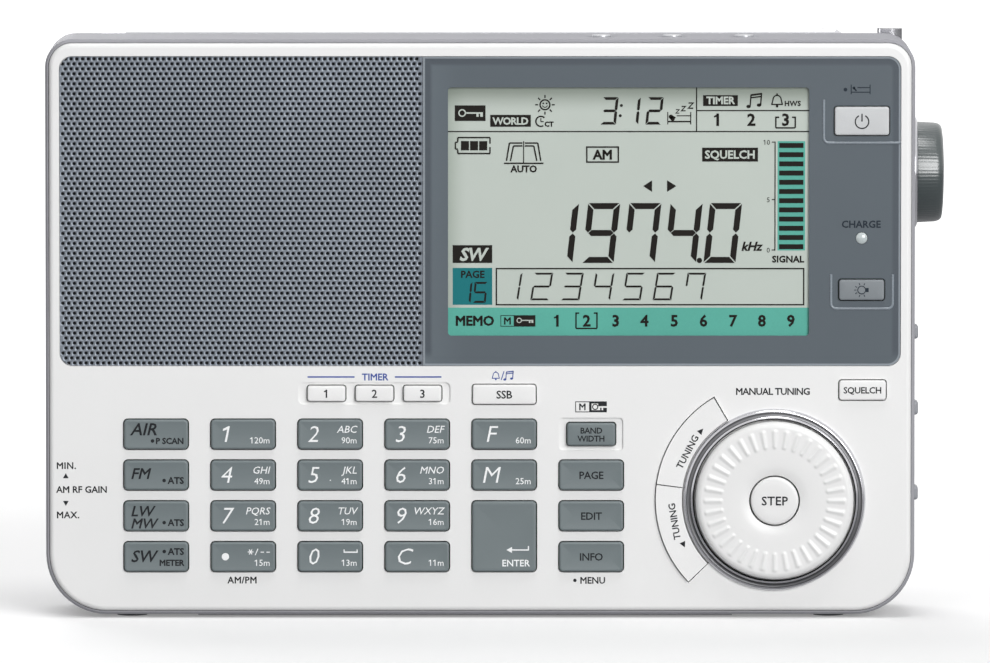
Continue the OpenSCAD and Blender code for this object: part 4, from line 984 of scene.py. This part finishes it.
legend = Print()
legend.words("ENTER", 8.19, 12.79, 1.47, bold=0.03)
legend.line(6.97, 15.82, 11.13, 15.82, 0.28)
legend.line(11.09, 15.73, 11.09, 16.74, 0.28)
legend.shape((6.03, 15.82), (7.31, 16.51), (7.31, 15.13))
make_key("enter_key", "key_grey", white_ink, legend)

legend, (x, z) = Print(), key_middle("power_key")
legend.ring(x, z - 0.15, 1.55, 0.28, 118, 422, 32)
legend.line(x, z + 1.7, x, z - 0.1, 0.3)
make_key("power_key", "key_pale", dark_ink, legend, CROWNED)

legend, (x, z) = Print(), key_middle("light_key")
legend.ring(x, z, 0.9, 0.2)
legend.block(x + 0.95, z + 0.48, x + 1.6, z - 0.48)
rays(legend, x, z, 1.2, 1.7, 0.18, (65, 110, 150, 180, 210, 250, 295))
make_key("light_key", "key_mid", window_ink, legend, CROWNED)

# ---- Tuning knob, its ring and arc keys ----
# A broad white dial with soft finger ribs turns in a satin and chrome ring, round a STEP button
# that doesn't turn. Two curved white keys lie against the ring.


def turned(profile, centre, axis, sides=96, wave=None):
    """Closed body of revolution: profile points are (radius, height) in mm along the axis.

    Each ring is radius (cos a, sin a) round the axis; wave(radius, height, a) may move its height."""
    profile = np.array(profile, float)
    angle = np.arange(sides) * 2 * np.pi / sides
    radius, height = profile[:, :1] * MM, np.repeat(profile[:, 1:] * MM, sides, axis=1)
    if wave:
        height = height + wave(profile[:, :1], profile[:, 1:], angle[None]) * MM
    along = np.eye(3)[abs(axis) - 1] * np.sign(axis)
    first = np.eye(3)[(abs(axis)) % 3]
    second = np.cross(along, first)
    points = (np.asarray(centre) + radius[..., None] * (np.cos(angle)[:, None] * first
              + np.sin(angle)[:, None] * second) + height[..., None] * along)
    n = len(profile)
    ends = [range(sides - 1, -1, -1), range((n - 1) * sides, n * sides)]
    hollow = np.allclose(profile[0], profile[-1])
    if hollow:
        points, n = points[:-1], n - 1
    faces = grid_faces(n, sides, round_rows=hollow)
    return outward(points.reshape(-1, 3), faces if hollow else faces + ends)


dial_low, dial_high = (np.array(corner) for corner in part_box("tuning_knob"))
DIAL = np.array([(dial_low[0] + dial_high[0]) / 2, FACE, (dial_low[2] + dial_high[2]) / 2])
DIAL_H = (FACE - dial_low[1]) / MM
RIBS, RIB_IN, RIB_OUT, RIB_H = 36, 12.2, 16.2, 0.28     # count, reach and height of the ribs, in mm
BORE, SUNK = 5.85, -1.5     # radius of the dial's bore, and how far it runs in behind the panel


def dial_ribs(radius, height, angle):
    """Rounded radial ribs: a raised cosine round each rib's middle, fading at both its ends."""
    across_rib = np.clip(1 - np.abs((angle * RIBS / (2 * np.pi) + 0.5) % 1 - 0.5) / 0.3, 0, 1)
    inside = np.clip((radius - RIB_IN + 0.3) / 0.5, 0, 1) * np.clip((RIB_OUT + 0.3 - radius) / 0.5, 0, 1)
    return RIB_H * np.sin(across_rib * np.pi / 2) ** 2 * inside * (height > DIAL_H / 2)


skirt_r = (dial_high[0] - dial_low[0]) / 2 / MM
top = DIAL_H - RIB_H
profile = [(BORE, SUNK), (BORE, top - 0.5), (6.0, top - 0.42), (6.6, top - 0.26), (7.3, top - 0.1),
           (8.2, top - 0.02), (10, top)]
profile += [(r, top) for r in np.arange(11.6, 16.81, 0.2)]
profile += [(16.8 + 1.4 * math.sin(a), top - 1.6 * (1 - math.cos(a)))
            for a in np.radians((10, 25, 40, 55, 70, 82, 90))]
profile += [(skirt_r, 0.3), (skirt_r, SUNK), (BORE, SUNK)]
knob_white = moulded("knob_white", (237, 237, 236), rough=0.36, grain=0.3e-3, relief=1.5e-6, drift=0.006)
dial = piece("tuning_dial", *turned(profile, DIAL, -2, sides=RIBS * 10, wave=dial_ribs),
             knob_white, "tuning_knob", "knob_white", soft=50)
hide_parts("tuning_knob")

STEP_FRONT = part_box("step_button")[0][1]
STEP_H, STEP_R = (FACE - STEP_FRONT) / MM, 5.5
PIN = 0.02          # radius of the tiny end faces where a solid cap meets its axis
step_cap = [(PIN, SUNK), (STEP_R, SUNK), (STEP_R, STEP_H - 0.45), (STEP_R - 0.08, STEP_H - 0.22),
            (5.2, STEP_H - 0.08), (4.8, STEP_H), (3, STEP_H - 0.03), (1.5, STEP_H - 0.06),
            (PIN, STEP_H - 0.07)]
cap = piece("step_cap", *turned(step_cap, DIAL, -2, sides=72), knob_white, "step_button", "knob_white",
            soft=50)
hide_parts("step_button")
marks = Print()
dial_x, dial_z = (DIAL[0] - MIDDLE) / MM, DIAL[2] / MM
marks.words("STEP", dial_x, dial_z, 1.95, bold=0.04, tight=1.04)
# The button's face is dished by up to 0.07 mm, and the word reaches down to it
marks.lay("step_mark", STEP_FRONT + 0.09e-3, dark_ink, "step_button", "knob_white", skin=0.1e-3)

chrome = Finish("chrome", Metallic=1.0)
x, _, z = chrome.place.axes()
away_x, away_z = x - float(DIAL[0]), z - float(DIAL[2])
reach = x.math("SQRT", away_x * away_x + away_z * away_z)
# The ring's groove has a duller brush finish and painted shade, lighter at its top and darker
# at its bottom; its inner wall beside the dial is painted near black as shade
groove = reach.over(19.3e-3, 0.05e-3) * (1 - reach.over(20.3e-3, 0.05e-3))
groove_painted_shade = (away_z * (1 / 42e-3) + 0.5).blend(ink(80, 80, 82), ink(116, 116, 118))
# Painted shade in the gap: the ring's inner wall beside the dial is coloured near black
dial_gap_painted_shade = reach.over(15e-3, 1e-3) * (1 - reach.over(18.82e-3, 0.05e-3))
fine = chrome.place.noise(0.25e-3, 2)
plate = groove.blend(fine.blend(ink(196, 196, 200), ink(216, 216, 220)), groove_painted_shade)
chrome.feed(Base_Color=dial_gap_painted_shade.blend(plate, ink(34, 34, 36)),
            Roughness=fine * 0.1 + (groove * 0.22 + 0.12))
chrome.bump(fine, 1e-6)
ring_profile = [(21.0, -0.3), (21.0, 0.15), (20.92, 0.55), (20.72, 0.95), (20.45, 1.2), (20.28, 1.22),
                (20.18, 1.1), (19.8, 1.02), (19.45, 1.1), (19.32, 1.28), (19.15, 1.5), (18.92, 1.6),
                (18.72, 1.52), (18.58, 1.3), (18.55, 1.0), (18.55, -0.3), (21.0, -0.3)]
ring_points, ring_faces = turned(ring_profile, DIAL, -2, sides=144)
vol_low, vol_high = (np.array(corner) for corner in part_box("volume_knob"))
SIDE = shell_high[0]        # plane of the shell's right side
VOLUME = np.array([SIDE, (vol_low[1] + vol_high[1]) / 2, (vol_low[2] + vol_high[2]) / 2])
washer_profile = [(13.0, -0.2), (13.0, 0.1), (12.85, 0.45), (12.5, 0.75), (12.1, 0.9), (11.98, 0.7),
                  (11.98, -0.2), (13.0, -0.2)]
washer_points, washer_faces = turned(washer_profile, VOLUME, 1, sides=96)
rings = piece("trim_rings_turned", np.concatenate([ring_points, washer_points]),
              [list(f) for f in ring_faces] + [[i + len(ring_points) for i in f] for f in washer_faces],
              chrome.material, "cabinet", "chrome", soft=40)
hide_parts("trim_rings")

# Each curved key has its word, turned to follow it, and an arrow head at its end
for node, middle, turn, tip, way in (("tuning_up_key", (47.7, 38.5), 62, (50.8, 43.3), 47),
                                     ("tuning_down_key", (44.7, 22.45), 99.5, (46.8, 17.1), -64)):
    dress(node, CAPS["key_white"])
    marks = Print()
    marks.words("TUNING", *middle, 1.5, turn=turn, bold=0.04)
    run = np.array([math.cos(math.radians(way)), math.sin(math.radians(way))])
    side = np.array([-run[1], run[0]])
    marks.shape(tip + run * 0.75, tip - run * 0.6 + side * 0.7, tip - run * 0.6 - side * 0.7)
    marks.lay("mark_" + node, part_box(node)[0][1], dark_ink, node, "key_white")

# ---- Side and top controls ----
# A grey-green rubbery volume knob with faint flutes on the right, with three small slide
# switches under it; the gain wheel on the left; three tiny silver buttons on top.

FLUTES = 90
knob_dark = Finish("knob_dark", Specular_IOR_Level=0.9, Coat_Weight=0.5, Coat_Roughness=0.2)
fine = knob_dark.place.noise(0.3e-3, 1)
slow = knob_dark.place.noise(9e-3)
knob_dark.feed(Base_Color=slow.blend(ink(44, 54, 55), ink(50, 61, 62)), Roughness=fine * 0.1 + 0.26)
knob_dark.bump(fine, 3e-6)
long = (vol_high[0] - SIDE) / MM
volume_profile = [(PIN, -0.6), (11.7, -0.6), (11.7, 0.2), (11.45, long - 2.2), (11.25, long - 1.4),
                  (10.95, long - 0.85), (10.5, long - 0.55), (9.8, long - 0.4), (8, long - 0.22),
                  (5, long - 0.07), (2, long - 0.01), (PIN, long)]
FLUTED_FROM = 11e-3     # radius past which the flutes are cut


def flutes(points, centre, depth, low, high):
    """Draws points of the knob's wall between two planes inward by depth (1 + cos(FLUTES a)) / 2."""
    away = points[:, 1:] - centre[1:]
    reach, angle = np.hypot(*away.T), np.arctan2(away[:, 1], away[:, 0])
    side = (reach > FLUTED_FROM) & (points[:, 0] > low) & (points[:, 0] < high)
    cut = np.where(side, depth * (1 + np.cos(FLUTES * angle)) / 2, 0)
    moved = points.copy()
    moved[:, 1:] -= away / reach[:, None].clip(1e-9) * cut[:, None]
    return moved


volume_points, volume_faces = turned(volume_profile, VOLUME, 1, sides=FLUTES * 4)
volume_points = flutes(volume_points, VOLUME, 0.04e-3, SIDE, vol_high[0])
volume = piece("volume_cap", volume_points, volume_faces, knob_dark.material, "volume_knob",
               "knob_dark", soft=50)
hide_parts("volume_knob")
dress("gain_wheel", knob_dark.material)
switch_grey = moulded("switch_grey", (150, 152, 157), rough=0.36)
silver = metal("button_silver", (196, 197, 200), (220, 221, 224), 0.2e-3, (0.22, 0.34), 2e-6, shine=0.85)
for number in (1, 2, 3):
    dress(f"side_switch_{number}", switch_grey)
    dress(f"top_button_{number}", silver)

# ---- Antenna, stand and battery door ----
# A chromed telescopic antenna lies in the groove along the back of the top, on its swivel. The
# folding stand and the battery door are mouldings of the shell's plastic.

plated = metal("antenna_chrome", (214, 214, 218), (232, 232, 235), 0.4e-3, (0.1, 0.18), 1e-6)
for node in ("antenna_swivel", "antenna_base", "antenna_middle", "antenna_tip"):
    dress(node, plated)
dress("stand", moulded("stand_grey", (150, 150, 156), grain=0.3e-3))
dress("battery_door", moulded("door_grey", **SHELL_PAINT))

# ---- Inside ----
# Steel loudspeaker, green circuit board, foil-wrapped cells and the black socket bodies, each a
# plain material on its own CAD solid.

dress("loudspeaker", metal("speaker_steel", (120, 121, 125), (168, 169, 172), 0.5e-3, (0.3, 0.5), 4e-6,
                           shine=0.8))
board = Finish("board_green", Coat_Weight=0.4)
tracks = board.place.noise(2.4e-3, 1)
fine = board.place.noise(0.3e-3, 1)
board.feed(Base_Color=tracks.over(0.52, 0.02).blend(ink(18, 84, 52), ink(34, 112, 70)),
           Roughness=fine * 0.1 + 0.3)
board.bump(tracks.over(0.52, 0.03), 15e-6)
dress("circuit_board", board.material)
jacket = Finish("cell_jacket", Coat_Weight=0.5)
fine = jacket.place.noise(0.5e-3, 1)
jacket.feed(Base_Color=jacket.place.noise(8e-3).blend(ink(28, 60, 120), ink(36, 74, 140)),
            Roughness=fine * 0.1 + 0.25)
jacket.bump(fine, 2e-6)
dress("batteries", jacket.material)
dress("sockets", moulded("socket_black", (26, 26, 28), rough=0.4, drift=0.1))
